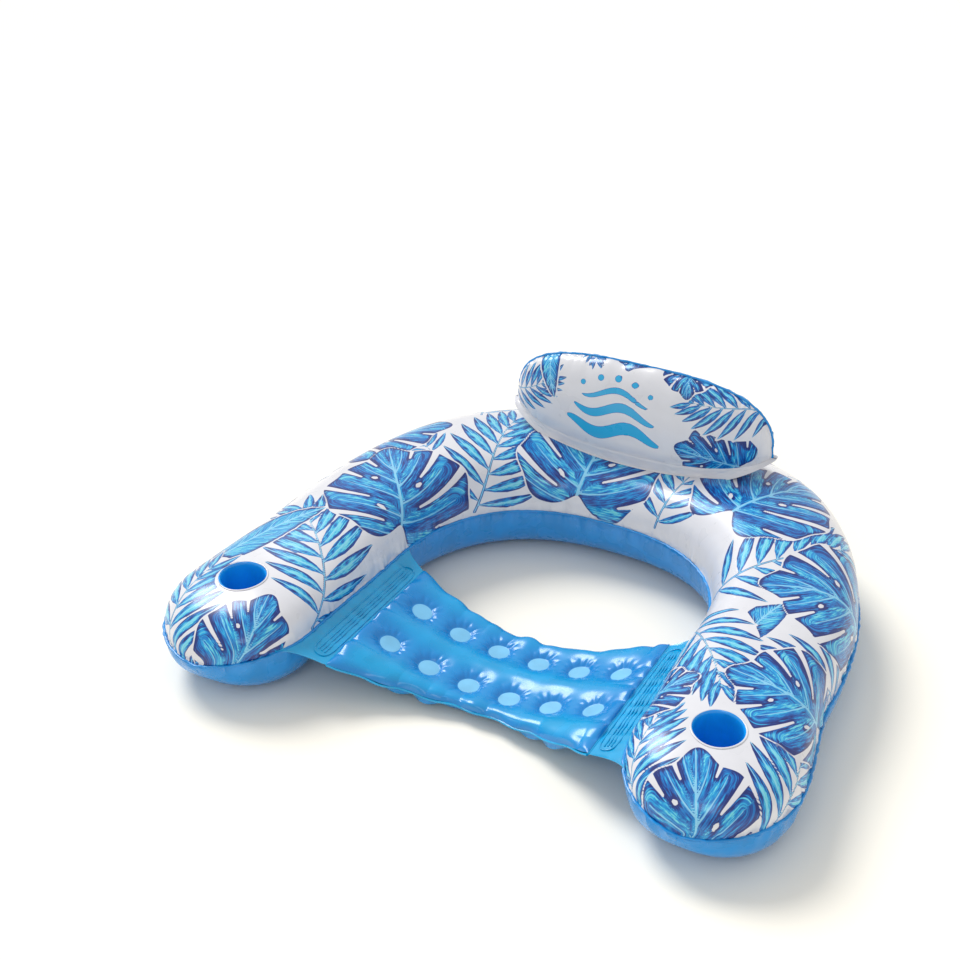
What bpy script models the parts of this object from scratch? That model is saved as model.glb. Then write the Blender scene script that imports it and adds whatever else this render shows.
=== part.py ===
"""Inflatable pool float: a horseshoe ring with two cup wells, a quilted seat sling and a backrest pillow.

Metres, +Z up, +X to the sitter's left-hand arm, +Y towards the backrest. The origin is on the ground
under the middle of the float. The float is inflated, and every skin is drawn thicker than its vinyl.
"""
import math

import bmesh
import bpy
from mathutils import Matrix, Vector

# Skins and fits
WALL = 0.0015            # every skin, drawn thicker than 0.3 mm vinyl so that it is a sound solid
GAP = 0.0003             # between pieces that are welded or rest on each other
MERGE = 0.00003          # points nearer than this are one
OVERRUN = 0.02           # how far a cutter passes what it cuts
WELD_LIP = 0.004         # the flat weld margin outside a seam

# Ring, seam line to seam line
HOLE_HALF_WIDTH = 0.297  # middle plane to the inner seam beside the seat
HOLE_ROUND = 0.326       # length of the hole's round back half
ARM_WIDTH = 0.248        # where the arm meets the round back
TIP_WIDTH = 0.274
BACK_WIDTH = 0.332
ARM_REACH = 0.395        # from the start of the round back to the arm's front end
TIP_ROUND = 0.150        # length of the arm's round end
TIP_CENTRE_X = 0.441
TIP_HEIGHT = 0.178       # crown of the ring at the cup wells
ARM_HEIGHT = 0.200       # crown where the arm meets the round back
SHOULDER_HEIGHT = 0.221  # crown at the round back's corners
BACK_HEIGHT = 0.197      # crown in the middle, where the pillow pulls it down
INNER_SEAM_HEIGHT = 0.107
OUTER_SEAM_HEIGHT = 0.094
TIP_SEAM_HEIGHT = 0.084
SETTLE = 0.004           # how far the round section is pressed flat on the ground
HOLE_POWER = 2.45        # plan of the round back's inner seam: 2 would be an ellipse
ROUND_POWER = 2.2        # plan of its outer seam
CROWN_POWER = 2.7        # upper half of the section
BELLY_POWER = 2.8        # lower half, fuller because it is pressed on the ground
ROUND_STATIONS = 15
ARM_STATIONS = 5
TIP_STATIONS = 7
SECTION_STEPS = 8

# Cup wells
CUP_RADIUS = 0.040
CUP_DEPTH = 0.095
CUP_BACK_OF_TIP = 0.150  # cup axis behind the arm's front end
CUP_RIM_DROP = 0.0012    # the well's top edge under the ring's crown
CUP_SIDES = 32

# Seat
SEAT_MIDDLE_LENGTH = 0.220
SEAT_END_LENGTH = 0.330
SEAT_END_FORWARD = 0.018  # how far the ends' middle lies in front of the seat's middle
SEAT_BACK_OF_TIP = 0.290  # seat centre behind the arms' front ends
SEAT_LOW = 0.025         # height of the weld plane in the middle
SEAT_HIGH = 0.083        # the same at the seat's ends
SEAT_TOP_BULGE = 0.024
SEAT_UNDER_BULGE = 0.017
SEAT_SAG_POWER = 2.2     # sag across the seat
SEAT_EDGE_POWER = 1.8    # how late the seat lengthens towards its ends
SEAT_SIDE_FULLNESS = 4   # how steeply the seat fills behind its front and back weld
SEAT_END_FULLNESS = 6    # the same at its ends
SPOT_END_MARGIN = 0.0475  # from the seat's end to the first column of spot welds
SPOT_SIDE_MARGIN = 0.054  # from the front and back weld to the rows, in the seat's middle
SPOT_RADIUS = 0.0195
SPOT_REACH = 0.066       # from a spot weld's centre to the full bulge
SPOT_COLUMNS = 6

# Ribbed strips that join the seat to the arms
STRIP_WIDTH = 0.052
STRIP_LENGTH = 0.372
STRIP_FORWARD = 0.004    # strip's middle in front of the seat's middle
STRIP_THICK = 0.0024
RIB_HEIGHT = 0.0012
RIB_COUNT = 3

# Backrest pillow
PILLOW_HALF_WIDTH = 0.264
PILLOW_HEIGHT = 0.202    # from its base to its top seam
PILLOW_SINK = 0.013      # its base under the ring's crown
PILLOW_END_RISE = 0.070  # from its base to where front, back and base band meet at each end
PILLOW_FORWARD = 0.024   # pillow's middle in front of the crown's middle
PILLOW_HALF_THICK = 0.062
PILLOW_BASE_THICK = 0.050  # half thickness at the base
PILLOW_BAND = 0.036      # height of the base band in the middle
PILLOW_LEAN = 0.012      # how far the top lies in front of the base
CREASE_GAP = 0.0015      # between the pillow's skins and the band, whose walls lean at the ends
STAND_GAP = 0.0010       # between the base band and the ring, whose facets are not flat
PILLOW_POWER = 3         # front view of the pillow: 2 would be an ellipse
PILLOW_PROFILE_POWER = 2.2  # side view
PILLOW_SWELL_SHARE = 1 / 3  # share of the height up to which the pillow thickens
PILLOW_STATIONS = 20
PILLOW_STEPS = 6

# Valves, each along its own axis from the flange's outer face
FLANGE_RADIUS = 0.016
FLANGE_THICK = 0.003
STEM_RADIUS = 0.0068
STEM_BORE_RADIUS = 0.0045
STEM_DEPTH = 0.016
STEM_RIM_RADIUS = 0.0090
STEM_RIM_THICK = 0.0015
STEM_STOP_RADIUS = 0.0082
PLUG_CAP_RADIUS = 0.0080
PLUG_CAP_THICK = 0.0024
PLUG_LENGTH = 0.0070
STRAP_WIDTH = 0.0044
STRAP_THICK = 0.0009
STRAP_REACH = 0.0150     # from the axis to the outside of the strap's bend
STRAP_BEND_STEPS = 6
FLAP_THICK = 0.0008
FLAP_RADIUS = 0.0064
VALVE_SIDES = 20
BODY_VALVE_DROP_SHARE = 0.5    # share of the way down the lower skin's first facet
SEAT_VALVE_COLUMN = 2          # counted in spot pitches from the middle plane
PILLOW_VALVE_X = -0.120
PILLOW_VALVE_RISE = 0.075      # above the pillow's base

# Places that follow from the sizes
ROUND_Y = (ARM_REACH - HOLE_ROUND - BACK_WIDTH) / 2
TIP_Y = ROUND_Y - ARM_REACH
TIP_START_Y = TIP_Y + TIP_ROUND
SEAT_Y = TIP_Y + SEAT_BACK_OF_TIP
CUP_Y = TIP_Y + CUP_BACK_OF_TIP
CROWN_Y = ROUND_Y + HOLE_ROUND + BACK_WIDTH / 2
MEAN_SEAM_HEIGHT = (INNER_SEAM_HEIGHT + OUTER_SEAM_HEIGHT) / 2
SEAT_HALF_WIDTH = HOLE_HALF_WIDTH - STRIP_WIDTH
SPOT_PITCH = 2 * (SEAT_HALF_WIDTH - SPOT_END_MARGIN) / (SPOT_COLUMNS - 1)
SPOT_ROW_PITCH = SEAT_MIDDLE_LENGTH - 2 * SPOT_SIDE_MARGIN
PILLOW_BASE = BACK_HEIGHT - PILLOW_SINK
PILLOW_END_HEIGHT = PILLOW_BASE + PILLOW_END_RISE
PILLOW_TOP = PILLOW_BASE + PILLOW_HEIGHT
LID = WALL + GAP         # seam plane to the outer face of the skin that is welded there

PVC_WHITE = ("white_vinyl", (0.80, 0.81, 0.84), 0.32)
PVC_BLUE = ("blue_vinyl", (0.03, 0.25, 0.66), 0.28)
PVC_CYAN = ("bright_blue_vinyl", (0.02, 0.42, 0.80), 0.22)
PVC_CLEAR = ("valve_vinyl", (0.62, 0.74, 0.84), 0.35)


def clear_scene():
    for thing in list(bpy.data.objects):
        bpy.data.objects.remove(thing, do_unlink=True)


def collection(name):
    made = bpy.data.collections.new(name)
    bpy.context.scene.collection.children.link(made)
    return made


def material(finish):
    name, colour, roughness = finish
    made = bpy.data.materials.get(name)
    if made is None:
        made = bpy.data.materials.new(name)
        made.use_nodes = True
        shader = made.node_tree.nodes["Principled BSDF"]
        shader.inputs["Base Color"].default_value = (*colour, 1.0)
        shader.inputs["Roughness"].default_value = roughness
        shader.inputs["Metallic"].default_value = 0.0
    return made


def add_object(name, mesh, finish, parent=None):
    made = bpy.data.objects.new(name, mesh)
    PARTS.objects.link(made)
    mesh.materials.append(material(finish))
    mesh.shade_smooth()
    mesh.set_sharp_from_angle(angle=math.radians(40))
    made.parent = parent
    return made


def add_cutter(name, mesh):
    made = bpy.data.objects.new(name, mesh)
    CUTTERS.objects.link(made)
    made.hide_render = True
    made.display_type = "WIRE"
    return made


def cut(target, cutter):
    change = target.modifiers.new(cutter.name, "BOOLEAN")
    change.operation = "DIFFERENCE"
    change.solver = "EXACT"
    change.object = cutter


def sheet_mesh(name, rows, flip=False):
    """Skin through rows of points. Points that coincide, as at a pole, are merged."""
    shape = bmesh.new()
    grid = [[shape.verts.new(point) for point in row] for row in rows]
    for near, far in zip(grid, grid[1:]):
        for a, b, c, d in zip(near, near[1:], far[1:], far):
            shape.faces.new((a, b, c, d) if flip else (d, c, b, a))
    bmesh.ops.remove_doubles(shape, verts=shape.verts, dist=MERGE)
    mesh = bpy.data.meshes.new(name)
    shape.to_mesh(mesh)
    shape.free()
    return mesh


def tube_mesh(name, loops):
    """Closed solid through closed loops of points."""
    shape = bmesh.new()
    rings = [[shape.verts.new(point) for point in loop] for loop in loops]
    count = len(rings[0])
    for near, far in zip(rings, rings[1:]):
        for k in range(count):
            shape.faces.new((near[k], near[(k + 1) % count], far[(k + 1) % count], far[k]))
    shape.faces.new(rings[0])
    shape.faces.new(rings[-1])
    bmesh.ops.recalc_face_normals(shape, faces=shape.faces)
    mesh = bpy.data.meshes.new(name)
    shape.to_mesh(mesh)
    shape.free()
    return mesh


def mirror(target):
    change = target.modifiers.new("other_half", "MIRROR")
    change.use_axis = (True, False, False)
    change.merge_threshold = MERGE


def thicken(target):
    """Give a skin its wall, inwards from its outer face."""
    change = target.modifiers.new("wall", "SOLIDIFY")
    change.thickness = WALL
    change.offset = -1


def turned(name, profile, finish, parent, closed, sides=VALVE_SIDES):
    """Solid of revolution about the local Z axis, from (radius, height) points."""
    mesh = bpy.data.meshes.new(name)
    points = [(radius, 0, height) for radius, height in profile]
    edges = [(k, k + 1) for k in range(len(points) - 1)]
    if closed:
        edges.append((len(points) - 1, 0))
    mesh.from_pydata(points, edges, [])
    made = add_object(name, mesh, finish, parent)
    screw = made.modifiers.new("turn", "SCREW")
    screw.steps = sides
    screw.render_steps = sides
    screw.use_merge_vertices = True
    screw.merge_threshold = MERGE
    return made


def cylinder_mesh(name, radius, low, high, sides):
    """Upright cylinder about the Z axis."""
    shape = bmesh.new()
    place = Matrix.Translation((0, 0, (low + high) / 2))
    bmesh.ops.create_cone(shape, cap_ends=True, segments=sides, radius1=radius, radius2=radius,
                          depth=high - low, matrix=place)
    mesh = bpy.data.meshes.new(name)
    shape.to_mesh(mesh)
    shape.free()
    return mesh


def mix(a, b, share):
    return a + (b - a) * share


def ease(share):
    share = min(max(share, 0.0), 1.0)
    return share * share * (3 - 2 * share)


def arch(share, power):
    """Height of a superellipse arch, 1 in its middle and 0 at share -1 and 1."""
    return max(0.0, 1 - abs(share) ** power) ** (1 / power)


def arm_edges(y):
    """X of the inner and outer seam of an arm, from the round back to the round tip."""
    widen = ease((ROUND_Y - y) / (ROUND_Y - TIP_START_Y))
    inner = mix(HOLE_HALF_WIDTH, TIP_CENTRE_X - TIP_WIDTH / 2, widen)
    outer = mix(HOLE_HALF_WIDTH + ARM_WIDTH, TIP_CENTRE_X + TIP_WIDTH / 2, widen)
    return inner, outer


def quarter_round(angle, half_width, length, power):
    """Point of the round back, from its middle at angle 0 to the arm at a right angle."""
    across = math.sin(angle) ** (2 / power)
    along = math.cos(angle) ** (2 / power)
    return Vector((half_width * across, ROUND_Y + length * along))


def round_crown(angle):
    """Height of the crown along the round back."""
    plain = mix(ARM_HEIGHT, BACK_HEIGHT, math.cos(angle) ** 2)
    shoulder = SHOULDER_HEIGHT - (ARM_HEIGHT + BACK_HEIGHT) / 2
    return plain + shoulder * math.sin(2 * angle) ** 2


def ring_stations():
    """Sections of the +X half, from the back to the tip.

    Each is the inner and the outer seam point, the section's scale and the height of its crown.
    """
    stations = []
    for step in range(ROUND_STATIONS):
        angle = math.pi / 2 * step / ROUND_STATIONS
        inner = quarter_round(angle, HOLE_HALF_WIDTH, HOLE_ROUND, HOLE_POWER)
        outer = quarter_round(angle, HOLE_HALF_WIDTH + ARM_WIDTH, HOLE_ROUND + BACK_WIDTH, ROUND_POWER)
        stations.append((inner, outer, 1.0, round_crown(angle)))
    for step in range(ARM_STATIONS):
        y = mix(ROUND_Y, TIP_START_Y, step / ARM_STATIONS)
        inner_x, outer_x = arm_edges(y)
        crown = mix(ARM_HEIGHT, TIP_HEIGHT, ease(step / ARM_STATIONS))
        stations.append((Vector((inner_x, y)), Vector((outer_x, y)), 1.0, crown))
    for step in range(TIP_STATIONS + 1):
        angle = math.pi / 2 * step / TIP_STATIONS
        y = TIP_START_Y - TIP_ROUND * math.sin(angle)
        scale = max(math.cos(angle), 0.0) if step < TIP_STATIONS else 0.0
        reach = TIP_WIDTH / 2 * scale
        inner = Vector((TIP_CENTRE_X - reach, y))
        outer = Vector((TIP_CENTRE_X + reach, y))
        stations.append((inner, outer, scale, TIP_HEIGHT))
    return stations


def seam_normals(stations):
    """Outward plan directions of the inner and the outer seam at each station."""
    inner = [station[0] for station in stations]
    outer = [station[1] for station in stations]
    path = inner + outer[-2::-1]
    mirrored = Vector((-1, 1))
    path = [path[1] * mirrored] + path + [path[-2] * mirrored]
    normals = []
    for before, after in zip(path, path[2:]):
        along = (after - before).normalized()
        normals.append(Vector((along.y, -along.x)))
    count = len(stations)
    # Walking down the inner seam and back up the outer one keeps the skin on the left hand.
    return normals[:count], [normals[2 * count - 2 - k] for k in range(count)]


def inner_lip_rows(low, high):
    """Points of the inner weld lip's edge from y low to y high, at both ends and at each corner between."""
    stations = ring_stations()
    inward = seam_normals(stations)[0]
    edge = [station[0] + normal * WELD_LIP for station, normal in zip(stations, inward)]
    rows = []
    for near, far in zip(edge, edge[1:]):
        for y in (high, low):
            if far.y < y <= near.y:
                rows.append(near.lerp(far, (near.y - y) / (near.y - far.y)))
        if low < far.y < high:
            rows.append(far)
    return rows


def section_point(station, share, upper, grow=0.0):
    """Point of the ring's outer surface, from share -1 at the inner seam to 1 at the outer one."""
    inner, outer, scale, crown = station
    plan = inner + (outer - inner) * (share + 1) / 2
    seam = mix(INNER_SEAM_HEIGHT, OUTER_SEAM_HEIGHT, (share + 1) / 2)
    seam = mix(TIP_SEAM_HEIGHT, seam, scale)
    if upper:
        rise = (crown - MEAN_SEAM_HEIGHT - LID) * scale
        height = seam + LID + rise * arch(share, CROWN_POWER) + grow
    else:
        height = max(0.0, seam - LID - (seam - LID + SETTLE) * scale * arch(share, BELLY_POWER))
    return Vector((plan.x, plan.y, height))


def section_shares():
    return [-math.cos(math.pi * k / SECTION_STEPS) for k in range(SECTION_STEPS + 1)]


def ring_skin(name, upper, finish):
    """Upper or lower skin of the ring. Both skins' flat weld lips lie face to face at the seam."""
    stations = ring_stations()
    inner_out, outer_out = seam_normals(stations)
    rows = []
    for station, inward, outward in zip(stations, inner_out, outer_out):
        row = [section_point(station, share, upper) for share in section_shares()]
        first = row[0] + Vector((*inward, 0)) * WELD_LIP
        last = row[-1] + Vector((*outward, 0)) * WELD_LIP
        rows.append([first] + row + [last])
    skin = add_object(name, sheet_mesh(name, rows, flip=not upper), finish)
    mirror(skin)
    thicken(skin)
    return skin


def ring_envelope(name, reach):
    """The ring's upper surface raised by a gap, as a solid that cuts what stands on its back."""
    stations = [s for s in ring_stations() if s[2] == 1.0 and s[0].x < reach]
    half = []
    for station in stations:
        crest = [section_point(station, share, True, STAND_GAP) for share in section_shares()]
        foot = [Vector((crest[-1].x, crest[-1].y, 0)), Vector((crest[0].x, crest[0].y, 0))]
        half.append(crest + foot)
    other = [[Vector((-p.x, p.y, p.z)) for p in loop] for loop in half[:0:-1]]
    return add_cutter(name, tube_mesh(name, other + half))


def build_ring():
    top = ring_skin("top_skin", True, PVC_WHITE)
    bottom = ring_skin("bottom_skin", False, PVC_BLUE)
    for side, sign in (("right", -1), ("left", 1)):
        hole = cylinder_mesh(side + "_cup_hole", CUP_RADIUS + WALL + GAP,
                             TIP_HEIGHT - OVERRUN, TIP_HEIGHT + OVERRUN, CUP_SIDES)
        cutter = add_cutter(side + "_cup_hole", hole)
        cutter.location = (sign * TIP_CENTRE_X, CUP_Y, 0)
        cut(top, cutter)
        build_cup(side, Vector((sign * TIP_CENTRE_X, CUP_Y, 0)))
    return top, bottom


def build_cup(side, place):
    """A cup well: a tube welded into the top skin, closed by a floor disc."""
    high = TIP_HEIGHT - CUP_RIM_DROP
    low = high - CUP_DEPTH
    outer = CUP_RADIUS + WALL
    wall = turned(side + "_cup_wall",
                  [(outer, high), (outer, low), (CUP_RADIUS, low), (CUP_RADIUS, high)],
                  PVC_BLUE, None, True, CUP_SIDES)
    wall.location = place
    floor = add_object(side + "_cup_floor",
                       cylinder_mesh(side + "_cup_floor", outer, low - GAP - WALL, low - GAP, CUP_SIDES),
                       PVC_BLUE)
    floor.location = place


def seat_plane(x):
    """Height of the seat's weld plane."""
    return mix(SEAT_LOW, SEAT_HIGH, (abs(x) / SEAT_HALF_WIDTH) ** SEAT_SAG_POWER)


def seat_edges(x):
    """Y of the seat's front and back weld at x."""
    share = abs(x) / SEAT_HALF_WIDTH
    middle = SEAT_Y - SEAT_END_FORWARD * share ** 2
    half = mix(SEAT_MIDDLE_LENGTH, SEAT_END_LENGTH, share ** SEAT_EDGE_POWER) / 2
    return middle - half, middle + half


def seat_spots():
    """Centres of the spot welds."""
    return [((column - (SPOT_COLUMNS - 1) / 2) * SPOT_PITCH, SEAT_Y + row * SPOT_ROW_PITCH / 2)
            for column in range(SPOT_COLUMNS) for row in (-1, 1)]


def seat_fill(x, y):
    """Share of the full bulge at a point: 0 on the edge welds and on the spot welds."""
    front, back = seat_edges(x)
    along = (2 * y - front - back) / (back - front)
    edge = arch(along, SEAT_SIDE_FULLNESS) * arch(x / SEAT_HALF_WIDTH, SEAT_END_FULLNESS)
    nearest = min(math.hypot(x - spot_x, y - spot_y) for spot_x, spot_y in seat_spots())
    return edge * ease((nearest - SPOT_RADIUS) / (SPOT_REACH - SPOT_RADIUS))


def seat_columns():
    """X of the seat's mesh columns on the +X side, close together round each spot weld."""
    columns = [0.0]
    for column in range(SPOT_COLUMNS // 2):
        centre = (column + 0.5) * SPOT_PITCH
        columns += [centre - SPOT_RADIUS, centre, centre + SPOT_RADIUS]
        columns.append(min((column + 1) * SPOT_PITCH, (centre + SPOT_RADIUS + SEAT_HALF_WIDTH) / 2))
    return columns + [SEAT_HALF_WIDTH]


def seat_rows(x):
    """Y of the seat's mesh rows at a column."""
    front, back = seat_edges(x)
    spot = SPOT_ROW_PITCH / 2
    steps = [(spot - SPOT_RADIUS) / 2, spot - SPOT_RADIUS, spot, spot + SPOT_RADIUS]
    behind = [SEAT_Y + step for step in steps]
    before = [SEAT_Y - step for step in reversed(steps)]
    ahead = [front, (front + before[0]) / 2]
    return ahead + before + [SEAT_Y] + behind + [(back + behind[-1]) / 2, back]


def seat_point(x, y, upper):
    bulge = SEAT_TOP_BULGE if upper else -SEAT_UNDER_BULGE
    offset = LID if upper else -LID
    return Vector((x, y, seat_plane(x) + offset + (bulge - offset) * seat_fill(x, y)))


def seat_skin(name, upper):
    """Upper or lower skin of the seat, dimpled at the spot welds, with a flat weld lip all round."""
    offset = LID if upper else -LID
    rows = []
    columns = seat_columns()
    for x in columns:
        front, back = seat_edges(x)
        level = seat_plane(x) + offset
        row = [seat_point(x, y, upper) for y in seat_rows(x)]
        rows.append([Vector((x, front - WELD_LIP, level))] + row + [Vector((x, back + WELD_LIP, level))])
    rows.append([point + Vector((WELD_LIP, 0, 0)) for point in rows[-1]])
    skin = add_object(name, sheet_mesh(name, rows, flip=not upper), PVC_CYAN)
    mirror(skin)
    thicken(skin)
    return skin


def seat_strip(name, sign):
    """Ribbed strip from the end of the seat to the arm's inner seam."""
    start = SEAT_HALF_WIDTH + WELD_LIP + GAP
    low = seat_plane(SEAT_HALF_WIDTH)
    ridges = 2 * RIB_COUNT + 1
    shares = [k / (2 * ridges) for k in range(2 * ridges + 1)]
    middle = SEAT_Y - STRIP_FORWARD
    edge = inner_lip_rows(middle - STRIP_LENGTH / 2, middle + STRIP_LENGTH / 2)
    loops = []
    for corner in edge:
        at_end = corner in (edge[0], edge[-1])
        top = []
        under = []
        for k, share in enumerate(shares):
            x = mix(start, corner.x - GAP, share)
            z = mix(low, INNER_SEAM_HEIGHT, share)
            rib = RIB_HEIGHT if (k // 2) % 2 == 1 and not at_end else 0
            top.append(Vector((sign * x, corner.y, z + STRIP_THICK / 2 + rib)))
            if k in (0, len(shares) - 1):
                under.append(Vector((sign * x, corner.y, z - STRIP_THICK / 2)))
        loops.append(top + under[::-1])
    return add_object(name, tube_mesh(name, loops), PVC_CYAN)


def build_seat():
    seat_skin("seat_top_skin", True)
    under = seat_skin("seat_bottom_skin", False)
    seat_strip("left_seat_strip", 1)
    seat_strip("right_seat_strip", -1)
    return under


def pillow_outline(angle):
    """X of a pillow section, and the heights of its base, crease and top seam."""
    across = math.sin(angle)
    x = PILLOW_HALF_WIDTH * math.copysign(abs(across) ** (2 / PILLOW_POWER), across)
    share = abs(x) / PILLOW_HALF_WIDTH
    rise = max(0.0, 1 - share ** PILLOW_POWER)
    base = mix(PILLOW_END_HEIGHT, PILLOW_BASE, rise)
    crease = mix(PILLOW_END_HEIGHT, PILLOW_BASE + PILLOW_BAND, rise)
    top = mix(PILLOW_END_HEIGHT, PILLOW_TOP, rise ** (1 / PILLOW_POWER))
    return x, base, crease, top


def pillow_half_thickness(angle, height):
    """Half thickness of the pillow: widest low down, nothing at the top seam and at the ends."""
    x, base, _, top = pillow_outline(angle)
    if top <= base:
        return 0.0
    up = (height - base) / (top - base)
    ends = math.sqrt(max(0.0, 1 - (abs(x) / PILLOW_HALF_WIDTH) ** PILLOW_POWER))
    profile = arch(max(0.0, up), PILLOW_PROFILE_POWER)
    swell = mix(PILLOW_BASE_THICK, PILLOW_HALF_THICK, ease(up / PILLOW_SWELL_SHARE))
    return ends * swell * profile


def pillow_middle(height):
    """Y of the pillow's middle surface."""
    lean = PILLOW_LEAN * (height - PILLOW_BASE) / (PILLOW_TOP - PILLOW_BASE)
    return CROWN_Y - PILLOW_FORWARD - lean


def pillow_angles():
    return [math.pi * (k / PILLOW_STATIONS - 0.5) for k in range(PILLOW_STATIONS + 1)]


def pillow_skin(name, side, finish):
    """Front (side -1) or back (side 1) skin of the pillow, from the crease up to the top seam's lip."""
    rows = []
    for angle in pillow_angles():
        x, _, crease, top = pillow_outline(angle)
        row = []
        for step in range(PILLOW_STEPS + 1):
            height = crease + (top - crease) * math.sin(math.pi / 2 * step / PILLOW_STEPS)
            y = pillow_middle(height) + side * (pillow_half_thickness(angle, height) + LID)
            row.append(Vector((x, y, height)))
        sideways = math.copysign(abs(math.sin(angle)) ** PILLOW_POWER, x)
        slant = Vector((sideways, 0, abs(math.cos(angle)) + GAP))
        row.append(row[-1] + slant.normalized() * WELD_LIP)
        rows.append(row)
    skin = add_object(name, sheet_mesh(name, rows, flip=side > 0), finish)
    thicken(skin)
    return skin


def pillow_band():
    """White base band, a shallow boat that stands on the ring's crown and carries the pillow."""
    rows = []
    for angle in pillow_angles():
        x, base, crease, _ = pillow_outline(angle)
        row = []
        for side in (-1, 1):
            edge = []
            for height in (crease, (crease + base) / 2, base):
                y = pillow_middle(height) + side * (pillow_half_thickness(angle, height) + LID)
                edge.append(Vector((x, y, height - CREASE_GAP)))
            row += edge if side < 0 else edge[::-1]
        rows.append(row)
    band = add_object("pillow_base_band", sheet_mesh("pillow_base_band", rows, flip=True), PVC_WHITE)
    thicken(band)
    cut(band, ring_envelope("ring_envelope", PILLOW_HALF_WIDTH))
    return band


def build_pillow():
    pillow_skin("pillow_front_skin", -1, PVC_WHITE)
    back = pillow_skin("pillow_back_skin", 1, PVC_BLUE)
    pillow_band()
    return back


def strap_mesh(name):
    """Moulded strap, a flat U from the stem's rim out and back to the plug's cap."""
    low = GAP + STEM_RIM_THICK / 2
    high = GAP + STEM_RIM_THICK + GAP + PLUG_CAP_THICK / 2
    bend = (high - low) / 2
    centre = STRAP_REACH - bend
    outline = []
    for radius, turn in ((bend + STRAP_THICK / 2, 1), (bend - STRAP_THICK / 2, -1)):
        arc = [math.pi * (k / STRAP_BEND_STEPS - 1 / 2) for k in range(STRAP_BEND_STEPS + 1)]
        points = [(centre + radius * math.cos(a), low + bend + radius * math.sin(a)) for a in arc]
        start = (STEM_RIM_RADIUS + GAP, points[0][1])
        end = (PLUG_CAP_RADIUS + GAP, points[-1][1])
        side = [start] + points + [end]
        outline += side if turn > 0 else side[::-1]
    loops = [[Vector((x, sign * STRAP_WIDTH / 2, z)) for x, z in outline] for sign in (-1, 1)]
    return tube_mesh(name, loops)


def build_valve(prefix, place, outward, skin):
    """Flange in a hole of the skin, a stem that pushes in, its strap and plug, and its check flap."""
    axis = bpy.data.objects.new(prefix + "_axis", None)
    PARTS.objects.link(axis)
    axis.location = place
    axis.rotation_mode = "QUATERNION"
    axis.rotation_quaternion = outward.to_track_quat("Z", "Y")
    hole = add_cutter(prefix + "_hole", cylinder_mesh(prefix + "_hole", FLANGE_RADIUS + GAP,
                                                      -OVERRUN / 2, OVERRUN / 2, VALVE_SIDES))
    hole.parent = axis
    cut(skin, hole)
    bore = STEM_RADIUS + GAP
    turned(prefix + "_flange",
           [(FLANGE_RADIUS, 0), (FLANGE_RADIUS, -FLANGE_THICK), (bore, -FLANGE_THICK), (bore, 0)],
           PVC_CLEAR, axis, True)
    rim = GAP + STEM_RIM_THICK
    stop = -STEM_DEPTH + STEM_RIM_THICK
    turned(prefix + "_stem",
           [(STEM_RIM_RADIUS, rim), (STEM_RIM_RADIUS, GAP), (STEM_RADIUS, GAP), (STEM_RADIUS, stop),
            (STEM_STOP_RADIUS, stop), (STEM_STOP_RADIUS, -STEM_DEPTH), (STEM_BORE_RADIUS, -STEM_DEPTH),
            (STEM_BORE_RADIUS, rim)],
           PVC_CLEAR, axis, True)
    under = rim + GAP
    peg = STEM_BORE_RADIUS - GAP
    turned(prefix + "_plug",
           [(0, under + PLUG_CAP_THICK), (PLUG_CAP_RADIUS, under + PLUG_CAP_THICK),
            (PLUG_CAP_RADIUS, under), (peg, under), (peg, under - PLUG_LENGTH), (0, under - PLUG_LENGTH)],
           PVC_CLEAR, axis, False)
    add_object(prefix + "_strap", strap_mesh(prefix + "_strap"), PVC_CLEAR, axis)
    hinge = bpy.data.objects.new(prefix + "_flap_hinge", None)
    PARTS.objects.link(hinge)
    hinge.parent = axis
    hinge.location = (-FLAP_RADIUS, 0, -STEM_DEPTH - GAP)
    flap = add_object(prefix + "_flap",
                      cylinder_mesh(prefix + "_flap", FLAP_RADIUS, -FLAP_THICK, 0, VALVE_SIDES),
                      PVC_CLEAR, hinge)
    flap.location = (FLAP_RADIUS, 0, 0)


def build_body_valve(bottom):
    """On the lower skin at the very back, under the pillow."""
    station = ring_stations()[0]
    shares = section_shares()
    high = section_point(station, shares[-1], False)
    low = section_point(station, shares[-2], False)
    facet = high - low
    outward = Vector((0, facet.z, -facet.y)).normalized()
    build_valve("body_valve", high - facet * BODY_VALVE_DROP_SHARE, outward, bottom)


def build_seat_valve(under):
    """On the seat's lower skin, between four spot welds."""
    x = SEAT_VALVE_COLUMN * SPOT_PITCH
    spot = seat_point(x, SEAT_Y, False)
    near = seat_point(x - SPOT_RADIUS, SEAT_Y, False)
    slope = spot - near
    outward = Vector((slope.z, 0, -slope.x)).normalized()
    build_valve("seat_valve", spot, outward, under)


def build_pillow_valve(back):
    """On the back of the pillow, to one side."""
    height = PILLOW_BASE + PILLOW_VALVE_RISE
    share = abs(PILLOW_VALVE_X) / PILLOW_HALF_WIDTH
    angle = math.copysign(math.asin(share ** (PILLOW_POWER / 2)), PILLOW_VALVE_X)

    def point(turn, z):
        x = pillow_outline(turn)[0]
        return Vector((x, pillow_middle(z) + pillow_half_thickness(turn, z) + LID, z))

    place = point(angle, height)
    step = math.pi / PILLOW_STATIONS
    sideways = point(angle + step, height) - point(angle - step, height)
    upward = point(angle, height + SPOT_RADIUS) - point(angle, height - SPOT_RADIUS)
    outward = upward.cross(sideways).normalized()
    build_valve("pillow_valve", place, outward, back)


def main():
    top, bottom = build_ring()
    under = build_seat()
    back = build_pillow()
    build_body_valve(bottom)
    build_seat_valve(under)
    build_pillow_valve(back)


clear_scene()
PARTS = collection("inflatable_pool_float")
CUTTERS = collection("cutters")
main()
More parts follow.
